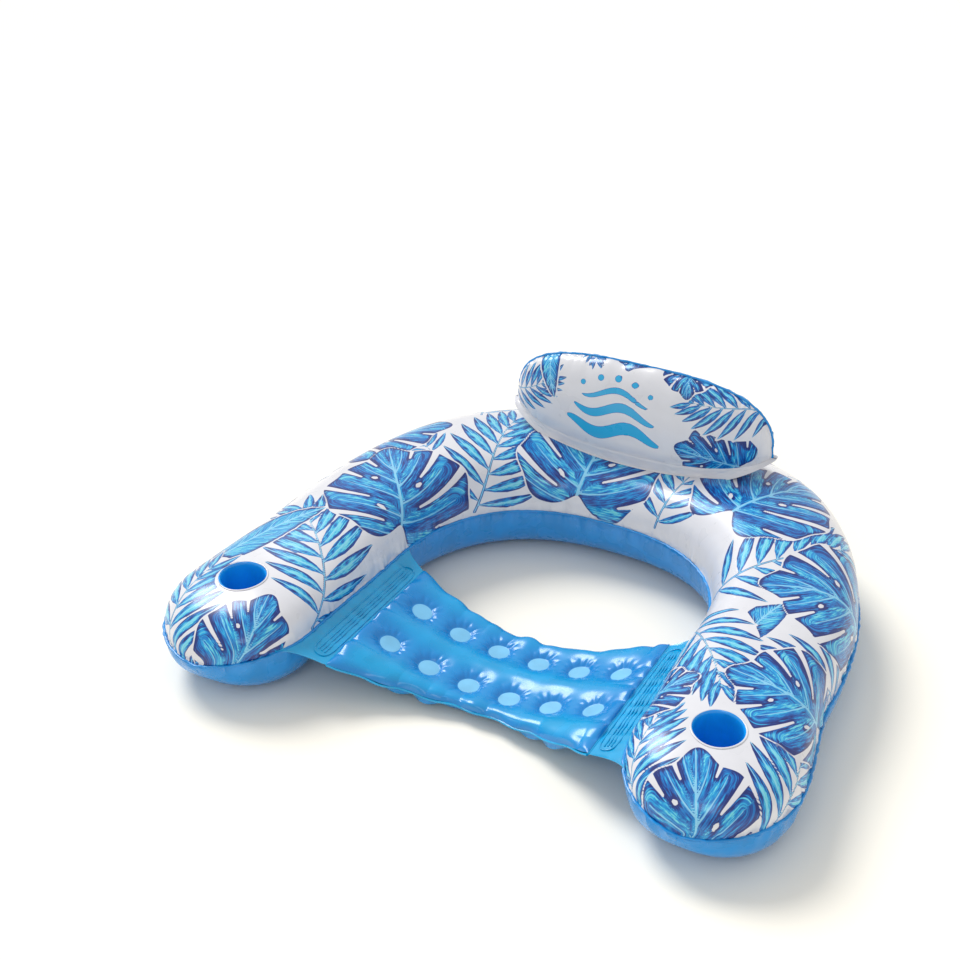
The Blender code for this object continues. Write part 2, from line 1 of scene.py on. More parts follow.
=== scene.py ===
"""Looks of an inflatable pool float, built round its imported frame.

Metres, +Z up. The skins follow the frame's sections, but in one smooth, fine surface each, puckered
along the welds. The leaf print is drawn by formula in the plane of the flat film and carried by the
skins as attributes: how far a point lies inside a leaf, how far it lies from the nearest vein, and
which way the brush strokes run.
"""
import itertools
import math

import bmesh
import bpy
import numpy as np
from mathutils import Matrix, Vector
from mathutils.bvhtree import BVHTree


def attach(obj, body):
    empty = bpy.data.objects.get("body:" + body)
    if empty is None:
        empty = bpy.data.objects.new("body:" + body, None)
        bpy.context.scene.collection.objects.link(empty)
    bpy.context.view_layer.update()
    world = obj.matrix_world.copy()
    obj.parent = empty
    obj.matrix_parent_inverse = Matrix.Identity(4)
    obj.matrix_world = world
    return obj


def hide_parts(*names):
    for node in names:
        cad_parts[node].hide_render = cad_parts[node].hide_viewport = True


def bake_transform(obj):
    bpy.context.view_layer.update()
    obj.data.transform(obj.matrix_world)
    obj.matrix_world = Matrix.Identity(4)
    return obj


bl_info = {
    "name": "Inflatable Pool Float",
    "version": (1, 0, 0),
    "blender": (4, 5, 0),
    "location": "View3D > Sidebar > Pool Float",
    "description": "Builds the skins, print, seat, pillow, valves and stage of a pool float",
    "category": "Object",
}

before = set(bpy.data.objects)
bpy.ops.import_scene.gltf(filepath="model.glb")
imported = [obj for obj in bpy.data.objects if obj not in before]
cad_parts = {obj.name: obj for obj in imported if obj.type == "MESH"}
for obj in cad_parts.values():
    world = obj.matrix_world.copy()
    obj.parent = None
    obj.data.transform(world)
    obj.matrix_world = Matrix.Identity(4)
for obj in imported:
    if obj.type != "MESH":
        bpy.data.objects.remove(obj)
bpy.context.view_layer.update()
BODY = "float_body"
VALVES = ("body_valve", "seat_valve", "pillow_valve")

# Sizes of the frame's ring, in metres
HOLE_HALF_WIDTH = 0.297
HOLE_ROUND = 0.326
ARM_WIDTH = 0.248
TIP_WIDTH = 0.274
BACK_WIDTH = 0.332
ARM_REACH = 0.395
TIP_ROUND = 0.150
TIP_CENTRE_X = 0.441
TIP_HEIGHT = 0.178
ARM_HEIGHT = 0.200
SHOULDER_HEIGHT = 0.221
BACK_HEIGHT = 0.197
INNER_SEAM = 0.107
OUTER_SEAM = 0.094
TIP_SEAM = 0.084
SETTLE = 0.004
HOLE_POWER = 2.45
ROUND_POWER = 2.2
CROWN_POWER = 2.7
BELLY_POWER = 2.8
LID = 0.0018
SEAM_LID = 0.0009        # how far the ring's films stand off the middle of their weld
MEAN_SEAM = (INNER_SEAM + OUTER_SEAM) / 2
ROUND_Y = (ARM_REACH - HOLE_ROUND - BACK_WIDTH) / 2
TIP_Y = ROUND_Y - ARM_REACH
TIP_START_Y = TIP_Y + TIP_ROUND
CROWN_Y = ROUND_Y + HOLE_ROUND + BACK_WIDTH / 2

# Cup wells
CUP_Y = TIP_Y + 0.150
CUP_RADIUS = 0.040
CUP_HOLE = 0.0418
CUP_TOP = 0.1768
CUP_DEPTH = 0.095

# Seat and its ribbed strips
SEAT_HALF_WIDTH = HOLE_HALF_WIDTH - 0.052
SEAT_Y = TIP_Y + 0.290
SEAT_MIDDLE_LENGTH = 0.220
SEAT_END_LENGTH = 0.330
SEAT_END_FORWARD = 0.018
SEAT_LOW = 0.025
SEAT_HIGH = 0.083
SEAT_SAG_POWER = 2.2
SEAT_EDGE_POWER = 1.8
SEAT_TOP_BULGE = 0.024
SEAT_UNDER_BULGE = 0.017
SPOT_COLUMNS = 6
SPOT_PITCH = 2 * (SEAT_HALF_WIDTH - 0.0475) / (SPOT_COLUMNS - 1)
SPOT_ROW_PITCH = SEAT_MIDDLE_LENGTH - 2 * 0.054
SPOT_RADIUS = 0.0195
SPOT_REACH = 0.066
STRIP_LENGTH = 0.372
STRIP_Y = SEAT_Y - 0.004

# Pillow
PILLOW_HALF_WIDTH = 0.264
PILLOW_BASE = BACK_HEIGHT - 0.013
PILLOW_END = PILLOW_BASE + 0.070
PILLOW_TOP = PILLOW_BASE + 0.202
PILLOW_BAND = 0.036
PILLOW_HALF_THICK = 0.062
PILLOW_BASE_THICK = 0.050
PILLOW_Y = CROWN_Y - 0.024
PILLOW_LEAN = 0.012
PILLOW_POWER = 3
PILLOW_PROFILE_POWER = 2.2


# Small tools

def hex_linear(code):
    """An sRGB hex colour as the linear colour that shaders read."""
    shares = (int(code[k:k + 2], 16) / 255 for k in (1, 3, 5))
    return tuple(c / 12.92 if c <= 0.04045 else ((c + 0.055) / 1.055) ** 2.4 for c in shares)


def add_node(tree, kind, links=None, **settings):
    """Add one node. links gives its inputs, each a value or another node's output."""
    made = tree.nodes.new(kind)
    for name, value in settings.items():
        setattr(made, name, value)
    for socket, value in (links or {}).items():
        if isinstance(value, bpy.types.NodeSocket):
            tree.links.new(value, made.inputs[socket])
        else:
            made.inputs[socket].default_value = value
    return made


def ease(share):
    """0 to 1, with a soft start and end."""
    share = np.clip(share, 0, 1)
    return share * share * (3 - 2 * share)


def arch(share, power):
    """Height of an arch from -1 to 1: round at power 2, flatter on top above it."""
    return np.clip(1 - np.abs(share) ** power, 0, None) ** (1 / power)


def waves(places, pitch, seed):
    """Uneven ripple of about -1 to 1 along a length, made of a few waves of unlike pitch."""
    draw = np.random.default_rng(seed)
    total = np.zeros_like(places)
    for one in pitch * np.array([0.62, 0.83, 1.0, 1.27, 1.71]):
        total += np.sin(2 * np.pi * places / one + draw.uniform(0, 2 * np.pi))
    return total / 3


def unit(vectors):
    """Vectors along the last axis brought to length 1."""
    return vectors / np.maximum(np.linalg.norm(vectors, axis=-1, keepdims=True), 1e-9)


def runs_along(points, axis=0):
    """Each point's distance from the first one, along one axis of a path or a grid of points."""
    steps = np.linalg.norm(np.diff(points, axis=axis), axis=-1)
    return np.cumsum(np.insert(steps, 0, 0, axis=axis), axis=axis)


def evenly(path, step):
    """A path's points set out again at even steps, and how far along it each lies."""
    runs = runs_along(path)
    spots = np.linspace(0, runs[-1], max(2, int(round(runs[-1] / step)) + 1))
    return np.stack([np.interp(spots, runs, column) for column in path.T], 1), spots


def circle(radius, turns, height):
    """Points round the Z axis."""
    return np.stack([radius * np.cos(turns), radius * np.sin(turns), height], 1)


def grid_quads(rows, columns):
    """The faces of a grid of points, as places in its flat list."""
    index = np.arange(rows * columns).reshape(rows, columns)
    corners = [index[:-1, :-1], index[:-1, 1:], index[1:, 1:], index[1:, :-1]]
    return np.stack(corners, -1).reshape(-1, 4)


def grid_mesh(name, rows, mask=None, flip=False):
    """Mesh over a grid of points (rows, columns, 3). mask leaves points out."""
    quads = grid_quads(*rows.shape[:2])
    if mask is not None:
        quads = quads[mask.reshape(-1)[quads].all(1)]
    if flip:
        quads = quads[:, ::-1]
    mesh = bpy.data.meshes.new(name)
    mesh.from_pydata(rows.reshape(-1, 3).tolist(), [], quads.tolist())
    mesh.polygons.foreach_set("use_smooth", np.ones(len(quads), bool))
    return mesh


def path_mesh(name, paths, closed=False):
    """A mesh of edges: one run of points for each path."""
    points, edges = [], []
    for path in paths:
        first = len(points)
        points += [tuple(point) for point in path]
        edges += [(k, k + 1) for k in range(first, len(points) - 1)]
        if closed:
            edges.append((len(points) - 1, first))
    mesh = bpy.data.meshes.new(name)
    mesh.from_pydata(points, edges, [])
    return mesh


def store_field(mesh, name, values):
    """Give a mesh's points a number or a vector each, as an attribute."""
    kind, part = ("FLOAT_VECTOR", "vector") if values.ndim == 2 else ("FLOAT", "value")
    made = mesh.attributes.new(name, kind, "POINT")
    made.data.foreach_set(part, values.astype(np.float32).ravel())


def add_object(name, data):
    """A new object in the scene that shows this data."""
    made = bpy.data.objects.new(name, data)
    bpy.context.scene.collection.objects.link(made)
    return made


def declare(piece, slot, nodes, body=BODY):
    """Attach a piece to the body that it rides on and hide the CAD nodes that it stands for. slot is
    not used.
    """
    if body:
        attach(piece, body)
    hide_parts(*nodes)
    return piece


def bake_modifiers(piece):
    """Turn what a piece's modifiers make into its own plain mesh."""
    bpy.context.view_layer.update()
    graph = bpy.context.evaluated_depsgraph_get()
    made = bpy.data.meshes.new_from_object(piece.evaluated_get(graph))
    piece.modifiers.clear()
    piece.data = made


MERGE_DISTANCE = 0.00002
SHARP_RIM = math.radians(60)     # a film's cut edge is turned more than this from its faces


def add_piece(mesh, material, slot, nodes, body=BODY, thick=0.0):
    """A piece named like its mesh, without doubles and loose points. thick makes it a film."""
    piece = add_object(mesh.name, mesh)
    shape = bmesh.new()
    shape.from_mesh(mesh)
    bmesh.ops.remove_doubles(shape, verts=shape.verts, dist=MERGE_DISTANCE)
    loose = [v for v in shape.verts if not v.link_faces]
    bmesh.ops.delete(shape, geom=loose, context="VERTS")
    shape.to_mesh(mesh)
    shape.free()
    mesh.materials.append(material)
    if thick:
        wall = piece.modifiers.new("wall", "SOLIDIFY")
        wall.thickness = thick
        wall.offset = -1
        bake_modifiers(piece)
        piece.data.set_sharp_from_angle(angle=SHARP_RIM)
    return declare(piece, slot, nodes, body)


def geometry_tree(name, sizes):
    """A geometry tree with inputs for named sizes and a material, and its input node's outputs."""
    tree = bpy.data.node_groups.new(name, "GeometryNodeTree")
    inputs = {"Geometry": "Geometry", **dict.fromkeys(sizes, "Float"), "Material": "Material"}
    for label, kind in inputs.items():
        tree.interface.new_socket(label, in_out="INPUT", socket_type="NodeSocket" + kind)
    tree.interface.new_socket("Geometry", in_out="OUTPUT", socket_type="NodeSocketGeometry")
    return tree, add_node(tree, "NodeGroupInput").outputs


def finish_tree(tree, geometry, material, smooth_faces=True):
    """End a geometry tree: instances made real, shaded, with their material."""
    real = add_node(tree, "GeometryNodeRealizeInstances", {"Geometry": geometry})
    smooth = add_node(tree, "GeometryNodeSetShadeSmooth",
                      {"Geometry": real.outputs[0], "Shade Smooth": smooth_faces})
    made = add_node(tree, "GeometryNodeSetMaterial",
                    {"Geometry": smooth.outputs[0], "Material": material})
    add_node(tree, "NodeGroupOutput", {"Geometry": made.outputs[0]})


def bead_tree():
    """A flat oval bead along every path of a mesh of edges."""
    tree, given = geometry_tree("weld_bead", ("Width", "Thickness"))
    path = add_node(tree, "GeometryNodeMeshToCurve", {"Mesh": given["Geometry"]})
    level = add_node(tree, "GeometryNodeSetCurveNormal", {"Curve": path.outputs[0]}, mode="Z_UP")
    size = add_node(tree, "ShaderNodeCombineXYZ",
                    {"X": given["Width"], "Y": given["Thickness"], "Z": 1.0})
    ring = add_node(tree, "GeometryNodeCurvePrimitiveCircle", {"Resolution": 8, "Radius": 0.5})
    oval = add_node(tree, "GeometryNodeTransform",
                    {"Geometry": ring.outputs[0], "Scale": size.outputs[0]})
    bead = add_node(tree, "GeometryNodeCurveToMesh",
                    {"Curve": level.outputs[0], "Profile Curve": oval.outputs[0],
                     "Fill Caps": True})
    finish_tree(tree, bead.outputs[0], given["Material"])
    return tree


def disc_tree():
    """A flat disc on every point of a mesh, turned by the point's tilt."""
    tree, given = geometry_tree("weld_discs", ("Radius", "Thickness"))
    disc = add_node(tree, "GeometryNodeMeshCylinder",
                    {"Vertices": 40, "Radius": given["Radius"], "Depth": given["Thickness"]})
    tilt = add_node(tree, "GeometryNodeInputNamedAttribute", {"Name": "tilt"},
                    data_type="FLOAT_VECTOR")
    discs = add_node(tree, "GeometryNodeInstanceOnPoints",
                     {"Points": given["Geometry"], "Instance": disc.outputs["Mesh"],
                      "Rotation": tilt.outputs[0]})
    finish_tree(tree, discs.outputs[0], given["Material"], smooth_faces=False)
    return tree


def grown_piece(mesh, tree, values, slot, nodes):
    """The plain piece that a geometry tree with these inputs makes of a mesh, with its name."""
    piece = add_object(mesh.name, mesh)
    grow = piece.modifiers.new("grow", "NODES")
    grow.node_group = tree
    for socket in tree.interface.items_tree:
        if socket.in_out == "INPUT" and socket.name in values:
            grow[socket.identifier] = values[socket.name]
    bake_modifiers(piece)
    return declare(piece, slot, nodes)


# Width and thickness of the beads that the settings don't name
LIP_BEAD = (0.0034, 0.0022)
SEAT_BEAD = (0.0052, 0.0040)
RIB_BEAD = (0.0026, 0.0022)


def beads(name, paths, width, thick, material, slot, nodes, closed=False):
    """Welded beads along some paths, as one piece."""
    values = {"Width": width, "Thickness": thick, "Material": material}
    return grown_piece(path_mesh(name, paths, closed), bead_tree(), values, slot, nodes)


# The ring's shape

BACK_SECTIONS, ARM_SECTIONS, TIP_SECTIONS = 399, 119, 160    # fine sections of each stretch
TIP_FIRST = BACK_SECTIONS + ARM_SECTIONS
SECTION_STEPS = 241      # points over the crown or the belly of a fine section


def ring_stations():
    """Fine sections of the +X half, back to tip: inner x, y, outer x, y, scale and crown height."""
    angle = np.linspace(0, np.pi / 2, BACK_SECTIONS + 1)[:-1]
    sine, cosine = np.sin(angle), np.cos(angle)
    plain = ARM_HEIGHT + (BACK_HEIGHT - ARM_HEIGHT) * cosine ** 2
    crown = plain + (SHOULDER_HEIGHT - (ARM_HEIGHT + BACK_HEIGHT) / 2) * np.sin(2 * angle) ** 2
    back = [HOLE_HALF_WIDTH * sine ** (2 / HOLE_POWER),
            ROUND_Y + HOLE_ROUND * cosine ** (2 / HOLE_POWER),
            (HOLE_HALF_WIDTH + ARM_WIDTH) * sine ** (2 / ROUND_POWER),
            ROUND_Y + (HOLE_ROUND + BACK_WIDTH) * cosine ** (2 / ROUND_POWER),
            np.ones_like(angle), crown]
    share = np.linspace(0, 1, ARM_SECTIONS + 1)[:-1]
    y = ROUND_Y + (TIP_START_Y - ROUND_Y) * share
    widen = ease(share)
    outside = HOLE_HALF_WIDTH + ARM_WIDTH
    arm = [HOLE_HALF_WIDTH + (TIP_CENTRE_X - TIP_WIDTH / 2 - HOLE_HALF_WIDTH) * widen, y,
           outside + (TIP_CENTRE_X + TIP_WIDTH / 2 - outside) * widen, y,
           np.ones_like(share), ARM_HEIGHT + (TIP_HEIGHT - ARM_HEIGHT) * widen]
    angle = np.linspace(0, np.pi / 2, TIP_SECTIONS)
    scale = np.cos(angle)
    y = TIP_START_Y - TIP_ROUND * np.sin(angle)
    tip = [TIP_CENTRE_X - TIP_WIDTH / 2 * scale, y, TIP_CENTRE_X + TIP_WIDTH / 2 * scale, y,
           scale, np.full_like(angle, TIP_HEIGHT)]
    return np.concatenate([np.array(back), np.array(arm), np.array(tip)], 1)


def seam_heights(share, scale):
    """Height of the welds' plane, for a share of -1 at the inner weld to 1 at the outer one."""
    level = INNER_SEAM + (OUTER_SEAM - INNER_SEAM) * (share + 1) / 2
    return TIP_SEAM + (level - TIP_SEAM) * scale


def ring_surface(upper, rows, columns):
    """Grid of points of the +X half's skin, and where each point lies in the flat film."""
    fine = ring_stations()
    middle = np.stack([(fine[0] + fine[2]) / 2, (fine[1] + fine[3]) / 2,
                       MEAN_SEAM + (fine[5] - MEAN_SEAM) * fine[4]])
    along = runs_along(middle.T)
    even = np.linspace(0, along[-1], rows)
    stations = np.array([np.interp(even, along, row) for row in fine])
    turn = np.linspace(0, np.pi, SECTION_STEPS)
    power = CROWN_POWER if upper else BELLY_POWER
    shares = -np.sign(np.cos(turn)) * np.abs(np.cos(turn)) ** (2 / power)
    lift = np.abs(np.sin(turn)) ** (2 / power)
    points = np.zeros((rows, columns, 3))
    film = np.zeros((rows, columns, 2))
    for k in range(rows):
        ix, iy, ox, oy, scale, crown = stations[:, k]
        plan = np.stack([ix + (ox - ix) * (shares + 1) / 2, iy + (oy - iy) * (shares + 1) / 2])
        seam = seam_heights(shares, scale)
        if upper:
            z = seam + SEAM_LID + (crown - MEAN_SEAM - SEAM_LID) * scale * lift
        else:
            z = np.maximum(0, seam - SEAM_LID - (seam - SEAM_LID + SETTLE) * scale * lift)
        curve = np.vstack([plan, z])
        lengths = runs_along(curve.T)
        spots = np.linspace(0, lengths[-1], columns)
        points[k] = np.stack([np.interp(spots, lengths, row) for row in curve], 1)
        across = unit(np.array([ox - ix, oy - iy]))
        crest = np.array([ix + ox, iy + oy]) / 2
        if even[k] > along[TIP_FIRST]:
            crest[1] = TIP_START_Y - (even[k] - along[TIP_FIRST])
        film[k] = crest + across * (spots - lengths[-1] / 2)[:, None]
    return points, film


def grid_normals(points):
    """Unit normals of a grid of points, by its own row and column directions."""
    down = np.gradient(points, axis=0)
    across = np.gradient(points, axis=1)
    return unit(np.cross(across, down))


# Where each valve's flange lies in the film, and which way it faces
VALVE_PLACES = {
    "body_valve": ((0.0, 0.52018, 0.06529), (0.0, 0.97352, -0.2286)),
    "seat_valve": ((0.158, -0.2365, 0.03028), (0.24142, 0.0, -0.97042)),
    "pillow_valve": ((-0.12, 0.38998, 0.259), (-0.06447, 0.99117, 0.11587)),
}
VALVE_FLANGE = 0.016
VALVE_HOLE = VALVE_FLANGE + 0.0002
VALVE_SINK = 0.0004      # how far the film's outer face lies below the flange's


def valve_calm(points):
    """0 beside a valve's flange, where the film lies flat, up to 1 a flange's radius away."""
    calm = np.ones(points.shape[:2])
    for place, _ in VALVE_PLACES.values():
        calm *= ease((np.linalg.norm(points - place, axis=2) - VALVE_FLANGE) / VALVE_FLANGE)
    return calm


def valve_hole(points, valve, cell):
    """Grid points with a valve's hole in them, the film round it drawn level with the flange."""
    place, outward = VALVE_PLACES[valve]
    points, keep = round_hole(points, place, outward, VALVE_HOLE, cell)
    off = points - place
    level = off @ np.array(outward)
    away = np.linalg.norm(off - level[:, :, None] * outward, axis=2)
    share = (1 - ease((away - VALVE_HOLE) / VALVE_HOLE)) * (np.abs(level) < VALVE_HOLE)
    return points - (share * (level + VALVE_SINK))[:, :, None] * outward, keep


def round_hole(points, place, outward, radius, cell, reach=0.02):
    """Grid points, those beside a hole drawn to its rim, and a mask that leaves the hole out."""
    outward = np.array(outward)
    off = points - place
    level = off @ outward
    away = off - level[:, :, None] * outward
    distance = np.linalg.norm(away, axis=2)
    near = np.abs(level) < reach
    keep = (distance >= radius - 0.3 * cell) | ~near
    beside = np.zeros_like(keep)
    for rows, columns in itertools.product((-1, 0, 1), repeat=2):
        beside |= ~np.roll(keep, (rows, columns), (0, 1))
    beside &= keep & near & (distance < radius * 1.5)
    snapped = points + away * (radius / np.maximum(distance, 1e-6) - 1)[:, :, None]
    return np.where(beside[:, :, None], snapped, points), keep


def pucker(seam_run, edge_run, seed, height, pitch, reach):
    """Heights of the puckers that a weld draws into a skin: deep at the weld, gone past reach."""
    near = np.exp(-edge_run / reach)
    lobes = 1.8 * np.abs(waves(seam_run, 2 * pitch, seed)) - 0.9
    return height * near * lobes * ease(edge_run / 0.003)


# The print: leaves drawn in the plane of the flat film, in metres

LEAF_GAP = 0.0030        # white left between a leaf and those drawn before it
FAR_OUT = 0.03           # depth outside a leaf, and distance from a vein, where nothing is drawn
VEIN_REACH = 0.0065      # distance from a vein's line past which its width no longer counts


class Print:
    """Fields of a print over film points. A leaf leaves a white gap round those drawn before it."""

    def __init__(self, film):
        self.film = film
        count = len(film)
        self.inside = np.full(count, -FAR_OUT)
        self.covered = np.full(count, -FAR_OUT)
        self.vein = np.full(count, FAR_OUT)
        self.vein_width, self.along, self.across, self.tone = np.zeros((4, count))

    def near(self, place, reach):
        return np.flatnonzero(np.linalg.norm(self.film - place, axis=1) < reach)

    def keep(self, chosen, inside, vein, width, along, across, tone, sharper=1.0):
        """Draw one motif; sharper makes its dark margin thinner than a leaf's."""
        inside = np.minimum(inside, -self.covered[chosen] - LEAF_GAP)
        self.covered[chosen] = np.maximum(self.covered[chosen], inside)
        better = inside * sharper > self.inside[chosen]
        rows = chosen[better]
        for name, values in (("inside", inside * sharper), ("vein", vein), ("vein_width", width),
                             ("along", along), ("across", across)):
            getattr(self, name)[rows] = values[better]
        self.tone[rows] = np.broadcast_to(tone, len(better))[better]

    def cover(self, chosen, depth):
        """Keep a motif's whole outline clear, so nothing drawn later shows between its parts."""
        self.covered[chosen] = np.maximum(self.covered[chosen], depth)

    def draw(self, leaves):
        for kind, x, y, heading, size, bend, tone in leaves:
            kind(self, (x, y), math.radians(heading), size, bend, tone)

    def store(self, mesh):
        """Write the fields to a mesh in millimetres, as the attributes that the material reads."""
        on = ease((VEIN_REACH - np.abs(self.vein)) / 0.0015) * (self.vein_width > 0)
        leaf = (self.inside * 1000, self.vein * 1000, self.vein_width * 1000 * on)
        store_field(mesh, "leaf", np.stack(leaf, 1))
        store_field(mesh, "stroke", np.stack((self.along * 1000, self.across * 1000, self.tone), 1))


def line_fields(points, line, widths):
    """Depth inside a line of varying half width, run along it, way across it and its width."""
    best = np.full(len(points), -1e9)
    run, side, wide = np.zeros((3, len(points)))
    start = 0.0
    for a, b, wide_a, wide_b in zip(line[:-1], line[1:], widths[:-1], widths[1:]):
        way = b - a
        length = np.linalg.norm(way)
        share = np.clip((points - a) @ way / length ** 2, 0, 1)
        off = points - (a + share[:, None] * way)
        distance = np.linalg.norm(off, axis=1)
        sign = np.where(way[0] * off[:, 1] - way[1] * off[:, 0] < 0, -1.0, 1.0)
        width = wide_a + (wide_b - wide_a) * share
        better = width - distance > best
        best[better] = (width - distance)[better]
        run[better] = (start + share * length)[better]
        side[better] = (sign * distance)[better]
        wide[better] = width[better]
        start += length
    return best, run, side, wide


def bent_line(root, angle, length, bend, steps=6):
    """Points of a line from root, turning evenly by bend over its length."""
    headings = angle + bend * (np.arange(steps) + 0.5) / steps
    moves = np.stack([np.cos(headings), np.sin(headings)], 1) * length / steps
    return np.vstack([root, root + np.cumsum(moves, axis=0)])


def point_at(line, steps):
    """The point that lies so many steps along a line of points."""
    low = int(steps)
    return line[low] + (line[low + 1] - line[low]) * (steps - low)


def turned_frame(points, place, turn, size):
    """Film points in a leaf's own frame: first axis along its rib, 1 being its size."""
    c, s = math.cos(turn), math.sin(turn)
    off = (points - np.array(place)) / size
    return np.stack([off[:, 0] * c + off[:, 1] * s, -off[:, 0] * s + off[:, 1] * c], 1)


# A split leaf's side veins: place on the rib, angle to it and length, 1 being the leaf's length
VEIN_ROOTS = (0.06, 0.15, 0.27, 0.40, 0.54, 0.68)
VEIN_ANGLES = (2.15, 1.75, 1.38, 1.08, 0.80, 0.52)
VEIN_LENGTHS = (0.44, 0.50, 0.52, 0.50, 0.43, 0.34)
SLIT_STEPS = 8
SLIT_STARTS = {1: (4, 2, 3, 4, 3), -1: (3, 4, 2, 3, 4)}  # step at which each side's slits start
DROPS = ((0.30, 1, 0.060), (0.50, -1, 0.045), (0.62, 1, 0.035))  # place on the rib, side, length


def split_leaf(pattern, place, turn, size, bend, tone):
    """A broad heart-shaped leaf, slit between its side veins and with a few drops cut out."""
    chosen = pattern.near(place, size * 1.15)
    if not len(chosen):
        return
    points = turned_frame(pattern.film[chosen], place, turn, size)
    rib = bent_line(np.array([-0.05, 0.0]), -bend / 2, 1.0, bend, steps=10)
    centre = rib[5] - (0.02, 0.0)
    away = points - centre
    radius = np.hypot(away[:, 0], away[:, 1])
    heading = np.arctan2(away[:, 1], away[:, 0])
    # The outline is a round that is drawn out at the tip, notched at the stalk and faintly lobed.
    edge = 0.465 + 0.10 * np.exp(-(heading / 0.24) ** 2) + 0.030 * np.cos(2 * heading + math.pi)
    edge -= 0.20 * np.exp(-((np.abs(heading) - math.pi) / 0.30) ** 2)
    edge += 0.012 * np.cos(10 * heading)
    depth = hull = edge - radius

    def side_line(hand, root, angle, long, curl, steps):
        start = point_at(rib, min(root + 0.02 * hand, 0.999) * (len(rib) - 1))
        return bent_line(start, hand * angle + bend * (root - 0.5), long, -hand * curl, steps)

    veins = [(rib, 0.012)]
    slits = []
    for hand in (-1, 1):
        for k, (root, angle, long) in enumerate(zip(VEIN_ROOTS, VEIN_ANGLES, VEIN_LENGTHS)):
            veins.append((side_line(hand, root, angle, long, 0.5, 6)[:-1], 0.0065))
            if k < len(VEIN_ROOTS) - 1:
                middle, between = (root + VEIN_ROOTS[k + 1]) / 2, (angle + VEIN_ANGLES[k + 1]) / 2
                first = SLIT_STARTS[hand][k]
                slit = side_line(hand, middle, between, 1.2 * long, 0.55, SLIT_STEPS)[first:]
                slits.append((slit, np.linspace(0.008, 0.026 + 0.006 * (k % 2), len(slit))))
    near = np.full(len(points), 9.0)
    vein = near.copy()
    width, run, side = np.zeros((3, len(points)))
    for k, (line, thick) in enumerate(veins):
        _, along, off, wide = line_fields(points, line, np.linspace(thick, thick * 0.35, len(line)))
        better = np.abs(off) - wide < near
        near[better] = (np.abs(off) - wide)[better]
        vein[better], width[better] = off[better], wide[better]
        side[better], run[better] = off[better] + 0.37 * k, along[better]
    for line, widths in slits:
        depth = np.minimum(depth, -line_fields(points, line, widths)[0])
    for along, hand, long in DROPS:
        start = point_at(rib, along * (len(rib) - 1)) + (0.02, hand * 0.12)
        drop = bent_line(start, hand * 0.9, long, 0.0, steps=2)
        depth = np.minimum(depth, -line_fields(points, drop, np.array([0.004, 0.016, 0.011]))[0])
    # Each finger is darker on the side that faces the leaf's base, as if it lay in shadow.
    shade = 0.20 * np.tanh(-np.sign(points[:, 1]) * vein / 0.03) - 0.10
    fields = (field * size for field in (depth, vein, width, run, side))
    pattern.keep(chosen, *fields, tone + shade)
    pattern.cover(chosen, hull * size)


# Half widths of a frond's outline along its rib, as shares of its leaflets' reach
FROND_HULL = np.array([0.4, 0.56, 0.66, 0.72, 0.74, 0.74, 0.72, 0.67, 0.6, 0.51, 0.42, 0.33, 0.24])
FROND_PAIRS = 8
FROND_REACH = 0.50
LEAFLET_WIDTHS = 0.041 * np.array([0.06, 0.62, 0.95, 1.0, 0.80, 0.46, 0.01])


def frond(pattern, place, turn, size, bend, tone):
    """A palm frond: slim leaflets on both sides of a thin rib."""
    chosen = pattern.near(place, size * 1.25)
    if not len(chosen):
        return
    points = turned_frame(pattern.film[chosen], place, turn, size)
    rib = bent_line(np.array([0.0, 0.0]), -bend / 2, 1.0, bend, steps=12)
    fields = line_fields(points, rib, np.linspace(0.010, 0.004, 13))
    for k in range(FROND_PAIRS):
        share = (k + 0.6) / FROND_PAIRS
        for hand in (-1, 1):
            start = point_at(rib, (share + hand * 0.018) * (len(rib) - 1))
            long = FROND_REACH * (0.45 + 0.55 * math.sin(math.pi * min(1, 0.18 + 0.80 * share)))
            heading = hand * (1.22 - 0.72 * share) + bend * (share - 0.5)
            line = bent_line(start, heading, long, -hand * 0.30)
            wide = 0.8 + 0.4 * math.sin(math.pi * share)
            more = line_fields(points, line, LEAFLET_WIDTHS * wide)
            better = more[0] > fields[0]
            fields = [np.where(better, new, old) for old, new in zip(fields, more)]
    depth, run, side, _ = fields
    pattern.keep(chosen, depth * size, side * size, np.full(len(points), 0.0035 * size),
                 run * size, side * size, tone)
    hull = line_fields(points, rib, FROND_HULL * FROND_REACH)[0]
    pattern.cover(chosen, hull * size)


BLADE_WIDTH = 0.15       # a blade's half width, 1 being its length


def blade(pattern, place, turn, size, bend, tone):
    """A long plain leaf with a rib and slanting side veins."""
    chosen = pattern.near(place, size * 1.1)
    if not len(chosen):
        return
    points = turned_frame(pattern.film[chosen], place, turn, size)
    rib = bent_line(np.array([0.0, 0.0]), -bend / 2, 1.0, bend, steps=10)
    shares = np.linspace(0, 1, 11)
    profile = BLADE_WIDTH * np.sin(np.pi * shares ** 0.8) ** 0.8 + 0.004
    depth, run, side, _ = line_fields(points, rib, profile)
    vein, wide = side.copy(), np.full(len(points), 0.008)
    for k in range(7):
        for hand in (-1, 1):
            at = 1.2 + 1.15 * k
            heading = hand * 0.75 + bend * (at / 10 - 0.5)
            length = 0.9 * profile[int(at)]
            line = bent_line(point_at(rib, at), heading, length, -hand * 0.3, steps=4)
            off = line_fields(points, line, np.full(len(line), 0.004))[2]
            better = np.abs(off) < np.abs(vein) - 0.004
            vein[better] = off[better]
            wide[better] = 0.0035
    slant = run - np.abs(side) * 1.2
    pattern.keep(chosen, depth * size, vein * size, wide * size, side * size, slant * size, tone)


